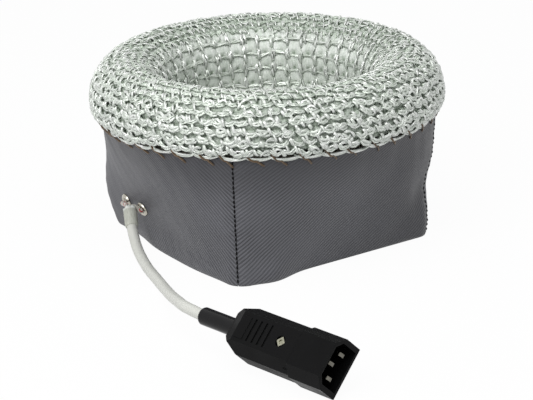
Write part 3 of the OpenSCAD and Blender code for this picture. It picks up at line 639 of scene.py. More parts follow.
def cuff_finish(s):
    """Coated glass sleeve: faint lengthwise fibres, blotches and a rough raw top."""
    f = Finish("cuff_sleeve")
    tube = f.attribute("tube")
    along, _, _ = f.split(tube)
    fibres = f.noise(f.scaled(tube, (0.35, 9, 9)), 1.0, 3, 0.6)
    blotch = f.noise(f.place(), 220, 3, 0.6)
    raw = f.span(along, 0.0, 2.2, 1, 0)
    tone = f.mix(f.span(fibres, 0.3, 0.7), (0.40, 0.405, 0.35), s.cuff_pale)
    tone = f.mix(f.span(blotch, 0.45, 0.75, 0, 0.5), tone, (0.43, 0.43, 0.37))
    tone = f.mix(f.math("MULTIPLY", raw, f.span(blotch, 0.4, 0.6)), tone, (0.72, 0.74, 0.70))
    return f.set(color=tone, rough=0.55, specular=0.4,
                 normal=f.bump(fibres, 0.25, 0.7, f.bump(blotch, 0.4, 0.6)))


def cable_finish(s):
    """Silicone cable: satin, with dust and faint bands from the die."""
    f = Finish("cable_jacket")
    dust = f.noise(f.place(), 300, 4, 0.65)
    band = f.noise(f.scaled(f.attribute("tube"), (0.05, 2, 2)), 1.0, 2)
    fine = f.noise(f.place(), 1600, 2, 0.5)
    tone = f.mix(f.span(dust, 0.35, 0.75), s.cable_pale, s.cable_dust)
    tone = f.mix(f.span(band, 0.4, 0.7, 0, 0.35), tone, s.cable_dust)
    return f.set(color=tone, rough=f.span(dust, 0.3, 0.7, 0.34, 0.5), specular=0.45,
                 normal=f.bump(fine, 0.03, 0.5, f.bump(band, 0.15, 0.4)))


def moulding_finish(s, name, grain_mm, rough):
    """Black moulding: fine spark-eroded grain, soft edges and a few pale scuffs."""
    edge_mm = 0.35
    f = Finish(name)
    p = f.place()
    grain = f.noise(p, 1 / (grain_mm * MM), 2, 0.5)
    scuff = f.noise(p, 260, 4, 0.7)
    wear = f.noise(p, 60, 3, 0.6)
    tone = f.mix(f.span(scuff, 0.55, 0.85, 0, 0.35), s.plug_black, s.plug_scuff)
    bevel = f.node("Bevel", samples=6)
    bevel.inputs["Radius"].default_value = edge_mm * MM
    return f.set(color=tone, rough=f.span(wear, 0.3, 0.7, rough, rough + 0.12), specular=0.055,
                 normal=f.bump(grain, 0.06, 0.5, bevel.outputs[0]))


def boot_finish(s):
    """Glossy black rubber with a few dust specks."""
    f = Finish("boot_rubber")
    haze = f.noise(f.place(), 180, 3, 0.6)
    dust = f.cells(f.place(), 700)
    tone = f.mix(f.span(dust, 0.06, 0.02, 0, 0.12), s.boot_black, (0.3, 0.3, 0.3))
    return f.set(color=tone, rough=f.span(haze, 0.3, 0.7, 0.12, 0.26), specular=0.2,
                 normal=f.bump(haze, 0.12, 0.3))


def fibre_finish(name, pale, dark, scale):
    """Loose mineral fibre: matted noise in colour and height."""
    f = Finish(name)
    mat = f.noise(f.place(), scale, 5, 0.7, 0.4)
    tone = f.mix(f.span(mat, 0.3, 0.7), dark, pale)
    return f.set(color=tone, rough=0.9, specular=0.2, normal=f.bump(mat, 1.2, 0.9), sheen=0.3)


def thread_finish(name, bright, dark, period, gloss):
    """Twisted sewing thread: a spiral of plies, one turn to each period, along each strand."""
    f = Finish(name)
    along, across, number = f.split(f.attribute("strand"))
    twist = wave(f, f.math("ADD", along, f.math("MULTIPLY", across, 1.6)), period)
    tint = f.noise(f.join(f.math("MULTIPLY", along, 0.25), number, 0.0), 1.0, 2)
    tone = f.mix(f.span(twist, -1, 1), dark, bright)
    tone = f.mix(f.span(tint, 0.35, 0.7, 0, 0.5), tone, dark)
    return f.set(color=tone, rough=0.42, specular=gloss, sheen=0.4 * gloss,
                 normal=f.bump(twist, 0.14, 0.9))


# ---------------------------------------------------------------- settings

def length_prop(name, description, default):
    """A length, held in metres."""
    return bpy.props.FloatProperty(name=name, description=description, default=default,
                                   unit="LENGTH", precision=4)


def colour_prop(name, description, default):
    """A colour, in linear values."""
    return bpy.props.FloatVectorProperty(name=name, description=description, default=default,
                                         subtype="COLOR")


class BowlSettings(bpy.types.PropertyGroup):
    """Sizes and colours of the crocheted bowl."""
    stitches: bpy.props.IntProperty(name="Stitches", description="Stitches in a full round", default=44)
    rounds: bpy.props.IntProperty(name="Rounds", description="Rounds from the middle to the edge",
                                  default=19)
    yarn_w: length_prop("Yarn width", "Width of the flat yarn", 0.0030)
    yarn_t: length_prop("Yarn thickness", "Thickness of the flat yarn", 0.0016)
    relief: length_prop("Relief", "Depth of the holes under the crests", 0.0017)
    twist: length_prop("Twist", "Length of one full turn of the yarn's plies", 0.017)
    filament: length_prop("Filament pitch", "Distance between the yarn's filament lines", 0.0007)
    yarn_pale: colour_prop("Yarn", "Colour of the yarn", (0.44, 0.47, 0.43))
    yarn_bright: colour_prop("Bright filaments", "Colour of the brightest filaments", (0.90, 0.905, 0.89))
    yarn_field: colour_prop("Fields", "Lit colour of the broad strands", (0.74, 0.80, 0.72))
    yarn_green: colour_prop("Green filaments", "Colour of the shaded filaments", (0.365, 0.43, 0.35))
    # Painted shade: the colour that strands and the ground take where they lie low.
    painted_depth_shade: colour_prop("Depths", "Colour between the strands", (0.33, 0.40, 0.31))
    # Painted shade: the colour of the holes between the ground's lumps.
    painted_hole_shade: colour_prop("Holes", "Colour of the holes", (0.18, 0.235, 0.17))
    whip_d: length_prop("Thread", "Thickness of the bronze sewing thread", 0.0009)
    whip_bright: colour_prop("Thread, lit", "Bright colour of the sewing thread", (0.235, 0.130, 0.048))
    whip_dark: colour_prop("Thread, dark", "Dark colour of the sewing thread", (0.040, 0.024, 0.011))


class JacketSettings(bpy.types.PropertyGroup):
    """Sizes and colours of the fabric jacket."""
    fabric_t: length_prop("Thickness", "Thickness of the fabric", 0.001)
    rib_pitch: length_prop("Rib pitch", "Distance between the twill's ribs", 0.0021)
    wrinkle: length_prop("Wrinkles", "Height of the soft wrinkles", 0.0007)
    seam_pitch: length_prop("Seam pitch", "Distance between the seam's stitches", 0.0030)
    jacket_light: colour_prop("Fabric, lit", "Colour of the ribs", (0.134, 0.135, 0.150))
    jacket_dark: colour_prop("Fabric, dark", "Colour between the ribs", (0.044, 0.044, 0.049))
    jacket_bloom: colour_prop("Bloom", "Colour of the pale specks", (0.22, 0.22, 0.235))


class CordSettings(bpy.types.PropertyGroup):
    """Colours of the leads, cuff and cable."""
    lead_pale: colour_prop("Lead sleeve", "Colour of the lead sleeves", (0.66, 0.64, 0.58))
    tracer: colour_prop("Tracer", "Colour of the tracer yarn", (0.45, 0.03, 0.03))
    cuff_pale: colour_prop("Cuff", "Colour of the cuff", (0.56, 0.57, 0.51))
    cable_pale: colour_prop("Cable", "Colour of the cable", (0.590, 0.595, 0.552))
    cable_dust: colour_prop("Cable dust", "Duller colour of the cable", (0.575, 0.577, 0.535))


class PlugSettings(bpy.types.PropertyGroup):
    """Colours of the plug."""
    plug_black: colour_prop("Moulding", "Colour of the moulding", (0.0042, 0.0042, 0.0044))
    plug_scuff: colour_prop("Scuffs", "Colour of scuffed moulding", (0.010, 0.010, 0.0104))
    boot_black: colour_prop("Boot", "Colour of the boot", (0.005, 0.005, 0.0055))


class StageSettings(bpy.types.PropertyGroup):
    """The camera and the light."""
    lens: bpy.props.FloatProperty(name="Lens", description="Focal length", default=135.085, unit="CAMERA")
    key: bpy.props.FloatProperty(name="Key light", description="Power of the overhead light",
                                 default=6.0, subtype="POWER")
    side: bpy.props.FloatProperty(name="Front light", description="Power of the front light",
                                  default=7.0, subtype="POWER")
    fill: bpy.props.FloatProperty(name="Fill", description="Strength of the surroundings", default=0.42)


# ---------------------------------------------------------------- bowl: rows and ground

def stitch_rows(settings):
    """For each round: where it starts along the wall, its height along the wall, its number of
    stitches and the turn of its first stitch, in stitches. A round has as many stitches as its
    radius needs at a constant width, and the full number from near the throat on."""
    pitch = WALL_LEN / settings.rounds
    measured_at, full_from, fewest, creep = 0.4, 0.93 * THROAT_R, 6, 0.04
    rows = []
    for k in range(settings.rounds):
        r = float(wall_radius((k + measured_at) * pitch))
        n = settings.stitches if r > full_from else max(fewest, round(settings.stitches * r / THROAT_R))
        rows.append((k * pitch, pitch, n, creep * k))
    return rows


def roll_rows(settings):
    """The rows of the roll, counted from the edge inwards: two loops to a stitch, laid like
    bricks."""
    start = WALL_LEN - ROLL_EDGE
    return [(start - (k + 1) * ROLL_PITCH, ROLL_PITCH, 2 * settings.stitches, 0.5 * (k % 2))
            for k in range(ROLL_ROWS)]


def pillows(s, theta, settings):
    """The lumps of the crochet's ground at (s, theta), as a height from 0 to 1 and the place
    across and along the round. A lump is a product of low powers of |sin(pi x)| and |sin(pi v)|,
    with x and v the shares of a stitch and a round, or of a loop of the roll. Each stitch of the
    bowl has a small hole, a bell about x = 0.5 and v = 0.15."""
    rows = stitch_rows(settings)
    pitch = WALL_LEN / settings.rounds
    k = np.clip((s / pitch).astype(int), 0, len(rows) - 1)
    count = np.array([row[2] for row in rows])[k]
    turn = np.array([row[3] for row in rows])[k]
    v = np.clip(s / pitch - k, 0, 1)
    x = np.mod(theta * count / (2 * pi) - turn, 1)
    hole = bell(x, 0.5, 0.15) * bell(v, 0.15, 0.13)
    stitch = (0.7 + 0.3 * np.abs(np.sin(pi * x)) ** 0.5) * np.abs(np.sin(pi * v)) ** 0.25 * (1 - hole)
    steps = (WALL_LEN - ROLL_EDGE - s) / ROLL_PITCH
    x2 = np.mod(theta * settings.stitches / pi - 0.5 * np.mod(np.floor(steps), 2), 1)
    loop = np.abs(np.sin(pi * x2)) ** 0.35 * np.abs(np.sin(pi * np.mod(steps, 1))) ** 0.4
    roll_from, blend = WALL_LEN - ROLL_EDGE - ROLL_ROWS * ROLL_PITCH, 3
    roll = smooth_step(s, roll_from - blend, roll_from + blend)
    return stitch * (1 - roll) + loop * roll, x * 2 * pi * wall_radius(s) / count, v * pitch


def build_ground(s):
    """The ground between the strands: a front skin with a lump for each stitch or loop, sunk
    under the crest line, and a smooth back skin. They meet at the sewn edge, and each is closed
    at its pole."""
    cols, rows, back_rows = 10 * s.stitches, 8 * s.rounds, 20
    pole_gap, edge_gap, back_gap = 1.5, 0.6, 0.1
    sunk, round_step = 1.15, 3.7
    lumps_to, bare_from, tight_to, loose_from = 6.5, 4, 90, 30    # all from the sewn edge
    relief = s.relief * PER_METRE
    theta = 2 * pi * np.arange(cols) / cols
    s_front = np.linspace(pole_gap, WALL_LEN - edge_gap, rows)
    sg, tg = np.broadcast_arrays(s_front[:, None], theta[None])
    lump, across, along = pillows(sg, tg, s)
    # gap flattens the lumps towards the sewn edge and also carries the painted shadow there: the ground's
    # colour goes near black with it.
    gap = smooth_step(s_front, WALL_LEN - lumps_to, WALL_LEN - bare_from)[:, None]
    lump = lump * (1 - gap)
    front = wall_at(sg, tg, relief * (lump - sunk))
    back = wall_at(np.linspace(WALL_LEN - edge_gap, pole_gap, back_rows)[:, None], theta[None],
                   back_gap - WALL_T)
    low = BALL_Z - BALL_R
    poles = np.array([[0, 0, low + relief], [0, 0, low - WALL_T + back_gap]])
    count = rows + back_rows
    fans = end_fans(0, (count - 1) * cols, count * cols, cols)[:, [0, 2, 1]]
    loose = smooth_step(sg, WALL_LEN - tight_to, WALL_LEN - loose_from)
    number = np.floor(sg * s.rounds / WALL_LEN) * round_step
    unseen = np.zeros((back_rows * cols + 2, 3))
    marks = np.stack(np.broadcast_arrays(lump, loose, gap), -1).reshape(-1, 3)
    fibres = np.stack([across, along, number], -1).reshape(-1, 3)
    points = np.concatenate([front.reshape(-1, 3), back.reshape(-1, 3), poles])
    ground = make_object("bowl_ground", points, grid_faces(count, cols, wrap_cols=True, flip=True), fans,
                         {"depth": np.concatenate([marks, unseen]),
                          "strand": np.concatenate([fibres, unseen])}, ground_finish(s))
    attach(ground, "root")
    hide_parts("knitted_bowl")


# ---------------------------------------------------------------- bowl: strands

def stitch_strands(rows, shape, rng, settings, field=0.0, jitter=0.055, tilt=0.09, share=1.0):
    """Strands of one kind for every stitch of the rows. shape(loose) gives, along the strand,
    x in stitch widths, v in round heights, h in millimetres, and shares of the yarn's width and
    thickness; loose goes from 0 inside the bowl to 1 at the sewn edge. A point is
    wall(s + v pitch, theta + x step, h), with small random shifts for each stitch: jitter moves
    it and tilt leans it. share is the part of the stitches that gets a strand, and field says
    how much of a broad field the strand is."""
    width, thick = settings.yarn_w * PER_METRE, settings.yarn_t * PER_METRE
    stretch, bob, plump, most, fading = 0.14, 0.16, 0.17, 1.8, 0.8
    tight_to, loose_from = 60, 12      # both from the sewn edge
    pole_gap, into_row = 0.5, 4
    lines, ups, widths, heights, marks = [], [], [], [], []
    for s0, pitch, n, turn in rows:
        loose = float(smooth_step(s0, WALL_LEN - tight_to, WALL_LEN - loose_from))
        x, v, h, w, t = shape(loose)
        i = np.flatnonzero(rng.random(n) < share)[:, None]
        shake = rng.normal(0, 1, (len(i), 6))
        lean = tilt * shake[:, 0:1] * (x[None] - 0.5)
        v = v[None] * (1 + stretch * shake[:, 1:2]) + jitter * shake[:, 2:3] + lean
        s = np.clip(s0 + v * pitch, pole_gap, WALL_LEN)
        theta = 2 * pi * (i + turn + x[None] + jitter * shake[:, 3:4]) / n
        height = np.broadcast_to(h[None], s.shape) + bob * shake[:, 4:5]
        lines.append(wall_at(s, theta, height))
        ups.append(wall_normal(s, theta))
        crowd = min(1.0, 2 * pi * float(wall_radius(s0 + into_row)) / n / FULL_STITCH)
        widths.append(w[None] * width * crowd * (1 + plump * shake[:, 5:6].clip(-most, most)) + 0 * s)
        heights.append(t[None] * thick * crowd + 0 * s)
        marks.append(np.stack([height, np.full_like(s, field * (1 - fading * loose)), 0 * s], -1))
    return [np.concatenate(v) for v in (lines, ups, widths, heights, marks)]


# The rows of the next shapes are: x, v, h, width, thickness.

def bar_shape(loose):
    """The loop across a stitch: nearly straight inside the bowl, and a fat crescent that hangs
    towards the edge on the last round. Its first end lies over its neighbour and its last end
    ducks under the next."""
    dip = 0.05 + 0.42 * loose
    w = 0.80 + 0.70 * loose
    t = 0.8 + 0.8 * loose
    h = -0.1 + 1.0 * loose
    end = 1.08 - 0.22 * loose
    return curve_through([
        (-0.16, -0.12, -1.4, 0.6 * w, 0.7), (-0.04, -0.04, 0.1 + 0.8 * loose, 0.9 * w, t),
        (0.20, 0.6 * dip, h + 0.2, w, t), (0.45 * end, dip, h, 1.05 * w, t),
        (0.72 * end, 0.85 * dip, h - 0.1, w, t), (0.9 * end, 0.3 * dip, -0.5 + 0.4 * loose, 0.85 * w, t),
        (end + 0.03, -0.02, -1.4, 0.55 * w, 0.7)], 8)


def leg_shape(place, size, lean, low=0.0):
    """A short strand that crosses the ends of the bars at that place, leaning that far; low
    moves it along the wall."""
    def shape(loose):
        h = 0.8 + 0.2 * loose
        return curve_through([
            (place + 1.3 * lean, 0.50 + low, -1.0, 0.8 * size, 0.8),
            (place + 0.8 * lean, 0.36 + low, 0.5 * h, size, 0.9), (place, 0.16 + low, h, 1.08 * size, 1.0),
            (place - 0.6 * lean, -0.04 + low, h - 0.3, size, 0.9),
            (place - lean, -0.16 + low, -0.9, 0.7 * size, 0.8)], 6)
    return shape


def puff_shape(loose):
    """A short loop of the roll that hangs a little: a broad flat field near the bowl and a fat
    puff near the edge."""
    w = 1.15 + 0.42 * loose
    t = 0.9 + 0.7 * loose
    dip = 0.24 + 0.06 * loose
    h = -0.25 + 0.95 * loose
    return curve_through([
        (-0.14, 0.20, -1.4, 0.7 * w, 0.8), (0.04, 0.30, h, 0.95 * w, t),
        (0.27, 0.30 + 0.75 * dip, h + 0.35, w, t), (0.52, 0.30 + dip, h + 0.3, 1.05 * w, t),
        (0.78, 0.30 + 0.6 * dip, h, w, t), (1.02, 0.20, -1.4, 0.7 * w, 0.8)], 6)


def arch_shape(loose):
    """A rounded strand of the roll that stands like an arch over the top of a loop."""
    w = 0.50 + 0.28 * loose
    t = 0.85 + 0.4 * loose
    h = 0.75 + 0.7 * loose
    return curve_through([
        (0.06, 0.60, -1.0, 0.7 * w, 0.8), (0.14, 0.36, 0.7 * h, 0.95 * w, t), (0.36, 0.10, h, w, t),
        (0.62, 0.08, h, 1.08 * w, t), (0.84, 0.30, 0.7 * h, 0.95 * w, t),
        (0.92, 0.52, -1.0, 0.7 * w, 0.8)], 7)


def fleck_shape(place, lean):
    """A short bright strand between the loops of the roll, leaning that far."""
    def shape(loose):
        w = 0.46 + 0.34 * loose
        t = 0.8 + 0.6 * loose
        h = 0.85 + 0.5 * loose
        return curve_through([
            (place + lean, 0.62, -0.8, 0.85 * w, 0.8), (place + 0.6 * lean, 0.44, 0.6 * h, w, t),
            (place, 0.20, h, 1.1 * w, t), (place - 0.6 * lean, -0.04, 0.7 * h, w, t),
            (place - lean, -0.16, -0.6, 0.75 * w, 0.8)], 6)
    return shape


def chain_strands(settings, rng):
    """The chain along the sewn edge: long flat links that overlap and hang a little. Its rows
    are x in stitch widths, millimetres past the edge, h, width and thickness."""
    n = settings.stitches
    width, thick = settings.yarn_w * PER_METRE, settings.yarn_t * PER_METRE
    keys = curve_through([
        (-0.16, -2.6, -1.4, 0.6, 0.8), (0.0, -1.5, 0.2, 0.95, 1.1), (0.22, -0.5, 1.0, 1.1, 1.3),
        (0.5, -0.1, 1.2, 1.15, 1.3), (0.8, -0.5, 1.0, 1.05, 1.2), (1.02, -1.4, 0.3, 0.9, 1.0),
        (1.16, -2.4, -1.2, 0.6, 0.8)], 12)
    x, y, h, w, t = [column[None] for column in keys]
    shake = rng.normal(0, 1, (n, 4))
    s = np.minimum(WALL_LEN - 0.2 + y * (1 + 0.2 * shake[:, 0:1]) + 0.25 * shake[:, 1:2], WALL_LEN)
    theta = 2 * pi / n * (np.arange(n)[:, None] + x + 0.04 * shake[:, 2:3])
    height = h + 0.2 * shake[:, 3:4]
    marks = np.stack([height + 0.3, 0 * s, 0 * s], -1)
    return wall_at(s, theta, height), wall_normal(s, theta), w * width + 0 * s, t * thick + 0 * s, marks


def spread(marks, sides):
    """Repeats each ring's mark for its points, and adds the two end points of each strand."""
    body = np.repeat(marks, sides, axis=1)
    return np.concatenate([body, marks[:, [0, -1]]], axis=1).reshape(-1, 3)


def yarn_piece(name, groups, material, rng):
    """One piece of several groups: the strands, their number of plies, the length of one turn of
    the plies and the sides of a ply."""
    parts, marks = [], []
    for (lines, ups, widths, heights, mark), plies, period, sides in groups:
        parts += plied(lines, ups, widths, heights, plies, period, rng, sides)
        marks += [spread(mark, sides)] * plies
    points, quads, tris, data = join_parts(parts)
    obj = make_object(name, points, quads, tris, {"strand": data, "depth": np.concatenate(marks)}, material)
    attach(obj, "root")
    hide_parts("knitted_bowl")


def build_bowl(s):
    """The crocheted bowl: strands laid as stitches over a lumpy closed ground. The rounds inside
    the bowl run a little under the first row of the roll."""
    rng = np.random.default_rng(7)
    yarn = yarn_finish(s)
    twist = s.twist * PER_METRE
    roll = roll_rows(s)
    overlap = 3
    inner = [row for row in stitch_rows(s)[1:] if row[0] < roll[-1][0] + overlap]

    def laid(rows, shape, plies, sides=5, **looks):
        """One group for yarn_piece: a strand of that shape for each stitch of the rows."""
        return stitch_strands(rows, shape, rng, s, **looks), plies, twist, sides

    yarn_piece("bowl_bars", [laid(inner, bar_shape, 2, field=0.35)], yarn, rng)
    yarn_piece("bowl_legs", [
        laid(inner, leg_shape(place=-0.10, size=0.50, lean=0.07), 2),
        laid(inner, leg_shape(place=0.08, size=0.46, lean=-0.05), 2),
        laid(inner, leg_shape(place=0.0, size=0.60, lean=0.05, low=-0.26), 1)], yarn, rng)
    yarn_piece("roll_loops", [laid(roll, puff_shape, 3, field=1.0, jitter=0.08, tilt=0.24)], yarn, rng)
    yarn_piece("roll_arches", [
        laid(roll, arch_shape, 2, jitter=0.12, tilt=0.4, share=0.55),
        laid(roll, fleck_shape(place=-0.04, lean=0.15), 1, sides=6, jitter=0.09, tilt=0.25, share=0.9),
        laid(roll, fleck_shape(place=0.20, lean=0.15), 1, sides=6, jitter=0.10, tilt=0.3, share=0.55)],
        yarn, rng)
    yarn_piece("edge_chain", [(chain_strands(s, rng), 2, 4 * twist, 6)], yarn, rng)
    build_ground(s)


def build_whip(s):
    """Bronze thread, one slanting stitch to each edge loop: out of the gap above the chain,
    over the chain and down onto the fabric. Each point is a blend of its place over the wall and
    its place over the jacket, from one to the other below the edge."""
    rng = np.random.default_rng(11)
    n = s.stitches
    # x in stitch widths, drop below the edge (mm), height above the crest line (mm)
    keys = [(0.00, -3.6, -1.6), (0.05, -3.0, 0.2), (0.20, -1.0, 2.0), (0.34, 0.9, 2.1),
            (0.46, 2.6, 1.0), (0.56, 4.2, 0.45), (0.60, 4.8, -0.9)]
    x, drop, h = [column[None] for column in curve_through(keys, 15, 6)]
    shake = rng.normal(0, 1, (n, 3))
    first, stretch, shift = 0.03, 0.10, 0.05
    under, wall_to, cloth_from = 0.3, 0.3, 2.4    # millimetres below the edge
    upward, flat = 0.2, 1.5
    theta = 2 * pi / n * (np.arange(n)[:, None] + first + x * (1 + stretch * shake[:, :1])
                          + shift * shake[:, 1:2])
    drop = drop * (1 + stretch * shake[:, 2:3])
    on_wall = wall_at(np.minimum(WALL_LEN + drop, WALL_LEN), theta, h)
    below = np.maximum(drop, 0)
    a = np.degrees(theta) + 90
    share = np.clip(1 - (below + under) / JACKET_H, 0, 1)
    cloth = jacket_point(a - 90 * np.round(a / 90), share, h)
    reach = np.hypot(cloth[..., 0], cloth[..., 1])
    on_cloth = np.stack([reach * np.cos(theta), reach * np.sin(theta), cloth[..., 2]], -1)
    down = smooth_step(below, wall_to, cloth_from)[..., None]
    line = on_wall * (1 - down) + on_cloth * down
    up = unit(np.stack([np.cos(theta), np.sin(theta), 0 * theta + upward], -1))
    thick = np.full(line.shape[:2], s.whip_d * PER_METRE)
    points, quads, tris, data = strands(line, up, flat * thick, thick, 7)
    obj = make_object("whip_stitches", points, quads, tris, {"strand": data},
                      thread_finish("bronze_thread", s.whip_bright, s.whip_dark, 1.1, 0.5))
    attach(obj, "root")


# ---------------------------------------------------------------- jacket

def cloth_relief(a, t, panel, height):
    """Height of the fabric above its plain form: soft ripples under the sewn edge that fade
    downwards, slow dents, a pucker along the corner seams, one corner knocked in at mid height,
    one pressed a little near the foot with creases beside it, the cloth on both sides of that
    corner let out over the floor, and one with a belly. way is the direction from the front
    panel's middle, so neighbouring panels share what stands at their seam."""
    x, y = a * 1.8, t * JACKET_H
    way = np.mod(a + 90 * panel + 180, 360) - 180
    from_seam = 45 - np.abs(a)
    corner = np.mod(panel + (a > 0), 4)
    slow = ripple(x, y, 21 + panel, 46.0, 2)
    folds = ripple(x + 0.35 * y, y * 0.2, 31 + panel, 24.0, 2)
    near_top = smooth_step(t, 0.45, 1.0)
    pinned = smooth_step(1 - t, 0.0, 0.06) * smooth_step(t, 0.0, 0.08)
    seam = bell(from_seam, 0, 3.2)
    waves = height * (0.55 * slow + 0.75 * folds * (0.35 + 0.65 * near_top)) * (1 - seam)
    pucker = 0.21 * np.sin(2 * pi * y / 9.0 + corner) * seam
    sink = -0.32 * bell(from_seam, 0, 1.6)
    creases = (0.28 * np.sin(2 * pi * (y + 0.35 * x + 2 * slow) / 6.5)
               * bell(t, 0.10, 0.09) * bell(way, 30, 13))
    knocked_in = 4.6 * bell(way, 132, 9) * bell(t, 0.40, 0.18)
    pressed = 0.8 * bell(way, 38, 5) * bell(t, 0.2, 0.12)
    belly = 4.2 * bell(way, -43, 9) * bell(t, 0.32, 0.24)
    let_out = (4.9 * bell(way, 7, 30, power=4) + 5.8 * bell(way, 58, 7.5)) * bell(t, 0, 0.16)
    return (waves + pucker + sink + creases) * pinned - knocked_in - pressed + belly + let_out


def build_panel(s, node, panel, lean, end_shade):
    """One panel of the jacket: a grid over direction and height, its outer skin moved by the
    cloth relief and its inner skin one fabric thickness inside. Columns crowd at the seams, as
    the sine of an even run."""
    cols, rows = 121, 61
    a = PANEL_HALF * np.sin(np.linspace(-pi / 2, pi / 2, cols))[None, :]
    t = np.linspace(0, 1, rows)[:, None]
    lift = cloth_relief(a, t, panel, s.wrinkle * PER_METRE)
    outer = turned(jacket_point(a, t, lift), panel)
    inner = turned(jacket_point(a, t, lift - s.fabric_t * PER_METRE), panel)
    x = length_along(outer)
    x = x - x[:, [cols // 2]]
    cloth = np.stack(np.broadcast_arrays(x, t * JACKET_H * FABRIC_SLANT, 0.0), -1).reshape(-1, 3)
    n = rows * cols
    c, r = np.arange(cols - 1), np.arange(rows - 1)
    top, end = (rows - 1) * cols, cols - 1
    edges = ((c + 1, c), (top + c, top + c + 1), (r * cols, (r + 1) * cols),
             ((r + 1) * cols + end, r * cols + end))
    quads = [grid_faces(rows, cols), grid_faces(rows, cols, first=n, flip=True)]
    quads += [np.stack([p, q, n + q, n + p], -1) for p, q in edges]
    obj = make_object("jacket_" + node, np.concatenate([outer.reshape(-1, 3), inner.reshape(-1, 3)]),
                      np.concatenate(quads), None, {"cloth": np.concatenate([cloth, cloth])},
                      twill_finish(s, "twill_" + node, lean, end_shade))
    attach(obj, "root")
    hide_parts(node)


def build_seams(s):
    """Black thread along the four corner seams: short stitches that lie on the corner's edge,
    rise as half a sine wave and dive into the fabric at both ends."""
    pitch = s.seam_pitch * PER_METRE
    count = int((JACKET_H - 3) / pitch)
    gap, sunk, rise, flat = 0.12, 0.50, 0.80, 0.65
    taper = np.array([0.5, 0.9, 1, 1, 1, 0.9, 0.5])
    u = np.linspace(0, 1, len(taper))
    z = SEAM_FOOT + pitch * (np.arange(count)[:, None] + gap + (1 - 2 * gap) * u)
    t = np.clip(z / JACKET_H, 0, 1)
    a = np.full(t.shape, PANEL_HALF)
    lines = []
    for panel in range(4):
        out = cloth_relief(a, t, panel, 0.0) - sunk + rise * np.sin(pi * u)
        lines.append(turned(jacket_point(a, t, out), panel))
    lines = np.concatenate(lines)
    w = np.tile(SEAM_THREAD * taper, (len(lines), 1))
    points, quads, tris, data = strands(lines, unit(lines * (1, 1, 0)), w, w * flat, 6)
    obj = make_object("seam_stitches", points, quads, tris, {"strand": data},
                      thread_finish("black_thread", (0.008, 0.008, 0.009), (0.002, 0.002, 0.002),
                                    0.8, 0.06))
    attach(obj, "root")


# ---------------------------------------------------------------- leads, cuff and cable

def eye(k):
    """Middle of eyelet k on the fabric."""
    return jacket_point(EYELET_ANGLES[k], EYELET_RISE)


def eye_out(k):
    """The way that the bore of eyelet k points: square to short steps across and up the fabric."""
    a, t = EYELET_ANGLES[k], EYELET_RISE
    across = jacket_point(a + 0.5, t) - jacket_point(a - 0.5, t)
    up = jacket_point(a, t + 0.01) - jacket_point(a, t - 0.01)
    return unit(np.cross(across, up))


def plug_point(x):
    """A point on the plug's axis, x behind its mouth."""
    yaw = radians(PLUG_YAW)
    return np.array([PLUG_MOUTH[0] - x * cos(yaw), PLUG_MOUTH[1] - x * sin(yaw), PLUG_AXIS_Z])


def cable_line():
    """The cable's middle line: out of the cuff, down to the floor and up into the plug. It is
    straight from clear before the cuff's foot and the boot's tail to its ends."""
    clear, inside, buried = 1.5, 2, 24
    start = CUFF_FOOT - CUFF_GRIP * CUFF_DIR
    route = [CUFF_FOOT + clear * CUFF_DIR, *CABLE_ROUTE, plug_point(BOOT_TAIL + clear)]
    tail = [plug_point(BOOT_TAIL - inside), plug_point(PLUG_LEN), plug_point(PLUG_LEN - buried)]
    return np.concatenate([[start, CUFF_FOOT - inside * CUFF_DIR], spline(route, 12), tail])


def build_leads(s):
    """Two sleeved leads from the eyelets, over the cuff's lip and down to the cable's end."""
    start = CUFF_FOOT - CUFF_GRIP * CUFF_DIR
    side = unit(np.cross(CUFF_DIR, [0, 0, 1.0]))
    free = CUFF_LEN - CUFF_GRIP
    margin = 0.4
    apart = (CABLE_D - LEAD_D - margin) / 2
    # The bend of each lead between its eyelet and the cuff's lip, from the eyelet's middle.
    bends = ([[1.6, -4.6, -0.4], [6.6, -6, 0.6], [11, -7, 1.9]], [[-2.3, -4.1, 1.5]])
    for k, (name, sign) in enumerate((("lead_left", 1), ("lead_right", -1))):
        last = start + sign * apart * side
        way = [eye(k) - 3 * eye_out(k), eye(k), eye(k) + 2.8 * eye_out(k)]
        way += [eye(k) + np.array(v) for v in bends[k]]
        way += [last - d * CUFF_DIR for d in (free + 2.2, free - 1, 0.4 * free, 0)]
        points, quads, tris, data = round_tube(resample(spline(way, 10), 70), LEAD_D / 2, 16)
        obj = make_object("sleeved_" + name, points, quads, tris, {"tube": data}, braid_finish(s))
        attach(obj, "root")
        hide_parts(name)


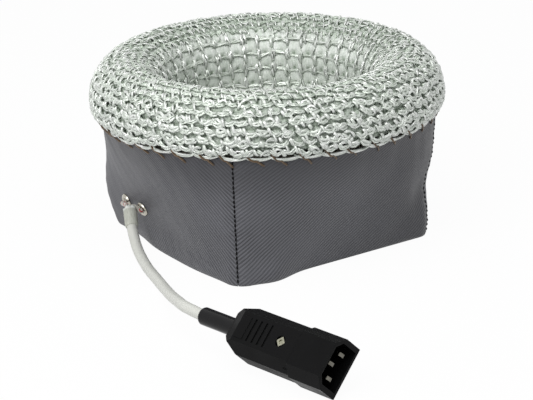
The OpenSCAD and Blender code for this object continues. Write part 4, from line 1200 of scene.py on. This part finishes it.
def build_cuff(s):
    """The cuff: a sleeve turned about its line, slightly waisted, with a ragged raw top whose
    height and flare change round the ring. Its outer skin runs down, closes over the cable and
    comes back up as the inner skin."""
    rows, cols = 26, 72
    wall, waist, foot_wall, bore_gap = 0.72, 0.6, 0.25, 0.05
    rag_depth, flare, lumps = 1.3, 0.35, 0.10
    a = 2 * pi * np.arange(cols) / cols
    v = np.linspace(0, 1, rows)[:, None]
    rng = np.random.default_rng(5)
    rag = np.interp(np.arange(cols), np.arange(0, cols + 1, 2), rng.uniform(0, 1, cols // 2 + 1))
    rag[-1] = 0.5 * (rag[0] + rag[-2])
    along = v * CUFF_LEN - (1 - v) ** 6 * rag_depth * rag[None]
    bulge = 0.35 * np.sin(pi * np.clip(v * 1.1, 0, 1)) + 0.2 * bell(v, 0.82, 0.1)
    ragged = flare * (1 - v) ** 8 * np.sin(5 * a + 1.0)[None]
    dents = ripple(3 * np.cos(a)[None] + 8 * v, 3 * np.sin(a)[None] + 8 * v, 3, 2.2, 3)
    outer_r = CABLE_D / 2 + wall + bulge * waist + ragged + lumps * dents
    foot = smooth_step(v, 0.93, 1.0)
    outer_r = outer_r * (1 - foot) + (CABLE_D / 2 + foot_wall) * foot
    radius = np.concatenate([outer_r, np.full_like(outer_r, CABLE_D / 2 + bore_gap)])
    along = np.concatenate([along, along[::-1]])
    x = unit(np.cross(CUFF_DIR, [0, 0, 1.0]))
    y = np.cross(CUFF_DIR, x)
    rings = (CUFF_TOP + along[..., None] * CUFF_DIR
             + radius[..., None] * (np.cos(a)[None, :, None] * x + np.sin(a)[None, :, None] * y))
    k = np.arange(cols)
    j = (k + 1) % cols
    last = (len(rings) - 1) * cols
    quads = np.concatenate([grid_faces(len(rings), cols, wrap_cols=True),
                            np.stack([last + k, last + j, j, k], -1)])
    data = np.stack(np.broadcast_arrays(along, np.cos(a), np.sin(a)), -1)
    obj = make_object("glass_cuff", rings.reshape(-1, 3), quads, None, {"tube": data.reshape(-1, 3)},
                      cuff_finish(s))
    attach(obj, "root")
    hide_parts("cuff")


def build_cable(s):
    """The mains cable: a round tube along its route, with barely felt waves in its radius."""
    count, sunk, swell = 150, 0.02, 0.03
    line = resample(cable_line(), count)
    radius = CABLE_D / 2 - sunk + swell * np.sin(np.arange(count) * 0.9)
    points, quads, tris, data = round_tube(line, radius, 28)
    obj = make_object("silicone_cable", points, quads, tris, {"tube": data}, cable_finish(s))
    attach(obj, "root")
    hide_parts("cable")


# ---------------------------------------------------------------- operators for the pieces

def paint(nodes, material):
    """Gives carried-over solids their finish."""
    for node in nodes:
        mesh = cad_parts[node].data
        mesh.materials.clear()
        mesh.materials.append(material)


class MANTLE_OT_bowl(bpy.types.Operator):
    """Lay the crocheted bowl and its ground"""
    bl_idname = "mantle.bowl"
    bl_label = "Crocheted bowl"

    def execute(self, context):
        build_bowl(context.scene.mantle_bowl)
        return {"FINISHED"}


class MANTLE_OT_whip(bpy.types.Operator):
    """Sew the bowl's edge to the jacket with bronze thread"""
    bl_idname = "mantle.whip"
    bl_label = "Edge sewing"

    def execute(self, context):
        build_whip(context.scene.mantle_bowl)
        return {"FINISHED"}


class MANTLE_OT_jacket(bpy.types.Operator):
    """Make the four fabric panels and finish the base"""
    bl_idname = "mantle.jacket"
    bl_label = "Jacket panels"

    def execute(self, context):
        s = context.scene.mantle_jacket
        # Each panel's solid, the lean of its ribs in degrees, and how much painted shade darkens its right
        # end.
        panels = (("panel_front", 38, 0.0), ("panel_right", -48, 0.75),
                  ("panel_back", 38, 0.0), ("panel_left", -48, 0.0))
        for panel, (node, lean, end_shade) in enumerate(panels):
            build_panel(s, node, panel, radians(lean), end_shade)
        paint(["base_panel"], plain_twill_finish(s))
        return {"FINISHED"}


class MANTLE_OT_seams(bpy.types.Operator):
    """Sew the four corner seams"""
    bl_idname = "mantle.seams"
    bl_label = "Corner seams"

    def execute(self, context):
        build_seams(context.scene.mantle_jacket)
        return {"FINISHED"}


class MANTLE_OT_inside(bpy.types.Operator):
    """Finish the padding, the fill and the heating cord"""
    bl_idname = "mantle.inside"
    bl_label = "Padding and heater"

    def execute(self, context):
        for node, name, pale, dark, scale in (
                ("rim_padding", "glass_rope", (0.75, 0.75, 0.70), (0.50, 0.50, 0.44), 300),
                ("fibre_fill", "wool_fill", (0.72, 0.66, 0.48), (0.45, 0.40, 0.28), 220),
                ("heating_cord", "heating_sleeve", (0.70, 0.62, 0.44), (0.42, 0.36, 0.24), 900)):
            paint([node], fibre_finish(name, pale, dark, scale))
        return {"FINISHED"}


class MANTLE_OT_eyelets(bpy.types.Operator):
    """Finish the eyelets and their washers"""
    bl_idname = "mantle.eyelets"
    bl_label = "Eyelets"

    def execute(self, context):
        paint(["eyelet_left", "eyelet_right", "eyelet_washer_left", "eyelet_washer_right"],
              nickel_finish())
        return {"FINISHED"}


class MANTLE_OT_leads(bpy.types.Operator):
    """Make the two sleeved leads"""
    bl_idname = "mantle.leads"
    bl_label = "Leads"

    def execute(self, context):
        build_leads(context.scene.mantle_cord)
        return {"FINISHED"}


class MANTLE_OT_cuff(bpy.types.Operator):
    """Make the cuff round the end of the cable"""
    bl_idname = "mantle.cuff"
    bl_label = "Cuff"

    def execute(self, context):
        build_cuff(context.scene.mantle_cord)
        return {"FINISHED"}


class MANTLE_OT_cable(bpy.types.Operator):
    """Lay the mains cable"""
    bl_idname = "mantle.cable"
    bl_label = "Cable"

    def execute(self, context):
        build_cable(context.scene.mantle_cord)
        return {"FINISHED"}


class MANTLE_OT_plug(bpy.types.Operator):
    """Finish the plug's mouldings, pins and fasteners"""
    bl_idname = "mantle.plug"
    bl_label = "Plug"

    def execute(self, context):
        s = context.scene.mantle_plug
        paint(["plug_base", "plug_cover"], moulding_finish(s, "plug_plastic", 0.45, 0.42))
        paint(["plug_nose"], moulding_finish(s, "nose_plastic", 0.30, 0.30))
        paint(["plug_boot"], boot_finish(s))
        paint(["pin_line", "pin_neutral", "pin_earth"], pin_finish())
        paint(["cover_screw", "cover_nut", "cord_clamp", "clamp_screws", "terminal_screws"],
              steel_finish())
        return {"FINISHED"}


# ---------------------------------------------------------------- stage

# The camera looks at a point over the middle of the foot, from that direction and that far, and
# is then moved along its own right and up; angles in degrees, lengths in millimetres.
VIEW_AZIMUTH = 56.6
VIEW_PITCH = 20.11
VIEW_ROLL = -1.63
VIEW_HEIGHT = 50.0
VIEW_DISTANCE = 1258.8
VIEW_RIGHT = -1.27
VIEW_UP = -29.9
FLOOR_HALF = 1500.0
FLOOR_DROP = 0.05
FLOOR_WHITE = 0.96     # how much of the floor's own shade gives way to plain white for the camera


def soft_box(name, place, target, size, power):
    """A rectangular area lamp that faces a point."""
    lamp = bpy.data.lights.new(name, "AREA")
    lamp.shape = "RECTANGLE"
    lamp.size, lamp.size_y = size
    lamp.energy = power
    obj = bpy.data.objects.new(name, lamp)
    way = Vector(target) - Vector(place)
    obj.location = place
    obj.rotation_euler = way.to_track_quat("-Z", "Y").to_euler()
    bpy.context.scene.collection.objects.link(obj)


def white_rays(tree):
    """1 for a ray from the camera, off a glossy surface or through a clear one, else 0."""
    path = tree.nodes.new("ShaderNodeLightPath")
    most = path.outputs["Is Camera Ray"]
    for kind in ("Is Glossy Ray", "Is Transmission Ray"):
        step = tree.nodes.new("ShaderNodeMath")
        step.operation = "MAXIMUM"
        tree.links.new(most, step.inputs[0])
        tree.links.new(path.outputs[kind], step.inputs[1])
        most = step.outputs[0]
    return most


def white_world(fill):
    """A world that is seen as white and lights the scene with a soft fill."""
    world = bpy.data.worlds.new("studio")
    world.use_nodes = True
    tree = world.node_tree
    tree.nodes.clear()
    out = tree.nodes.new("ShaderNodeOutputWorld")
    mix = tree.nodes.new("ShaderNodeMixShader")
    tree.links.new(white_rays(tree), mix.inputs[0])
    for k, (color, strength) in enumerate((((0.96, 0.98, 1, 1), fill), ((1, 1, 1, 1), 1.0))):
        glow = tree.nodes.new("ShaderNodeBackground")
        glow.inputs[0].default_value = color
        glow.inputs[1].default_value = strength
        tree.links.new(glow.outputs[0], mix.inputs[1 + k])
    tree.links.new(mix.outputs[0], out.inputs[0])
    return world


def white_floor():
    """The floor: white to the camera with a trace of shadow, pale to every other ray."""
    corners = [(x * FLOOR_HALF, y * FLOOR_HALF, -FLOOR_DROP)
               for x, y in ((-1, -1), (1, -1), (1, 1), (-1, 1))]
    f = Finish("studio_floor")
    f.set(color=f.mix(f.noise(f.place(), 6, 2), (0.80, 0.80, 0.80), (0.82, 0.82, 0.82)), rough=0.8,
          specular=0.2)
    glow = f.node("Emission")
    glow.inputs[0].default_value = (1, 1, 1, 1)
    glow.inputs[1].default_value = 1.0
    blend = f.node("MixShader")
    f.feed(blend.inputs[0], f.math("MULTIPLY", white_rays(f.tree), FLOOR_WHITE))
    f.feed(blend.inputs[1], f.shader.outputs[0])
    f.feed(blend.inputs[2], glow.outputs[0])
    f.feed(f.out.inputs["Surface"], blend.outputs[0])
    return make_object("floor", corners, [[0, 1, 2, 3]], None, {}, f.material, soft=False)


def aim_camera(scene, focal):
    """The camera: its axes are right, up and back, rolled about back."""
    az, pitch, roll = radians(VIEW_AZIMUTH), radians(VIEW_PITCH), radians(VIEW_ROLL)
    back = np.array([sin(az) * cos(pitch), -cos(az) * cos(pitch), sin(pitch)])
    level = np.array([cos(az), sin(az), 0.0])
    over = np.cross(back, level)
    right = cos(roll) * level + sin(roll) * over
    up = -sin(roll) * level + cos(roll) * over
    place = np.array([0, 0, VIEW_HEIGHT]) + VIEW_DISTANCE * back + VIEW_RIGHT * right + VIEW_UP * up
    lens = bpy.data.cameras.new("camera")
    lens.lens = focal
    lens.sensor_width = 36.0
    lens.clip_start = 0.01
    camera = bpy.data.objects.new("camera", lens)
    camera.matrix_world = Matrix.Translation(Vector(place * MM)) @ Matrix(
        np.stack([right, up, back], -1).tolist()).to_4x4()
    scene.collection.objects.link(camera)
    scene.camera = camera


class MANTLE_OT_stage(bpy.types.Operator):
    """Set up the floor, the lamps and the camera"""
    bl_idname = "mantle.stage"
    bl_label = "Stage"

    def execute(self, context):
        s = context.scene.mantle_stage
        scene = context.scene
        scene.view_settings.view_transform = "Standard"
        scene.world = white_world(s.fill)
        floor = white_floor()
        soft_box("key_light", (0.32, -0.28, 1.0), (0.02, -0.02, 0.06), (0.9, 0.9), s.key)
        soft_box("front_light", (0.35, -1.0, 0.85), (0.0, 0.0, 0.06), (0.8, 0.7), s.side)
        aim_camera(scene, s.lens)
        return {"FINISHED"}


# ---------------------------------------------------------------- panel and registration

class MANTLE_PT_panel(bpy.types.Panel):
    """The mantle's pieces and settings"""
    bl_idname = "MANTLE_PT_panel"
    bl_label = "Heating mantle"
    bl_space_type = "VIEW_3D"
    bl_region_type = "UI"
    bl_category = "Mantle"

    def draw(self, context):
        """A box for each group: its settings, then its buttons."""
        scene = context.scene
        for title, group, operators in GROUPS:
            box = self.layout.box()
            box.label(text=title)
            settings = getattr(scene, group)
            for key in settings.bl_rna.properties.keys():
                if key not in ("rna_type", "name"):
                    box.prop(settings, key)
            for operator in operators:
                box.operator(operator)


# The boxes of the panel: title, settings on the scene and operators.
GROUPS = (
    ("Stage", "mantle_stage", ("mantle.stage",)),
    ("Bowl", "mantle_bowl", ("mantle.bowl", "mantle.whip", "mantle.inside")),
    ("Jacket", "mantle_jacket", ("mantle.jacket", "mantle.seams", "mantle.eyelets")),
    ("Leads and cable", "mantle_cord", ("mantle.leads", "mantle.cuff", "mantle.cable")),
    ("Plug", "mantle_plug", ("mantle.plug",)),
)
SETTINGS = (
    ("mantle_bowl", BowlSettings), ("mantle_jacket", JacketSettings), ("mantle_cord", CordSettings),
    ("mantle_plug", PlugSettings), ("mantle_stage", StageSettings),
)
CLASSES = (
    *[c for _, c in SETTINGS],
    MANTLE_OT_stage, MANTLE_OT_leads, MANTLE_OT_cuff, MANTLE_OT_cable, MANTLE_OT_bowl, MANTLE_OT_whip,
    MANTLE_OT_jacket, MANTLE_OT_seams, MANTLE_OT_inside, MANTLE_OT_eyelets, MANTLE_OT_plug,
    MANTLE_PT_panel,
)


def register():
    """Registers the classes and hangs each settings group on the scene."""
    for c in CLASSES:
        bpy.utils.register_class(c)
    for key, c in SETTINGS:
        setattr(bpy.types.Scene, key, bpy.props.PointerProperty(type=c))


def unregister():
    """Takes back what register() added."""
    for key, _ in SETTINGS:
        delattr(bpy.types.Scene, key)
    for c in reversed(CLASSES):
        bpy.utils.unregister_class(c)


def main():
    """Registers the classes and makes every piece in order."""
    register()
    bpy.ops.mantle.stage()
    bpy.ops.mantle.leads()
    bpy.ops.mantle.cuff()
    bpy.ops.mantle.cable()
    bpy.ops.mantle.bowl()
    bpy.ops.mantle.whip()
    bpy.ops.mantle.jacket()
    bpy.ops.mantle.seams()
    bpy.ops.mantle.inside()
    bpy.ops.mantle.eyelets()
    bpy.ops.mantle.plug()


if __name__ == "__main__":
    main()
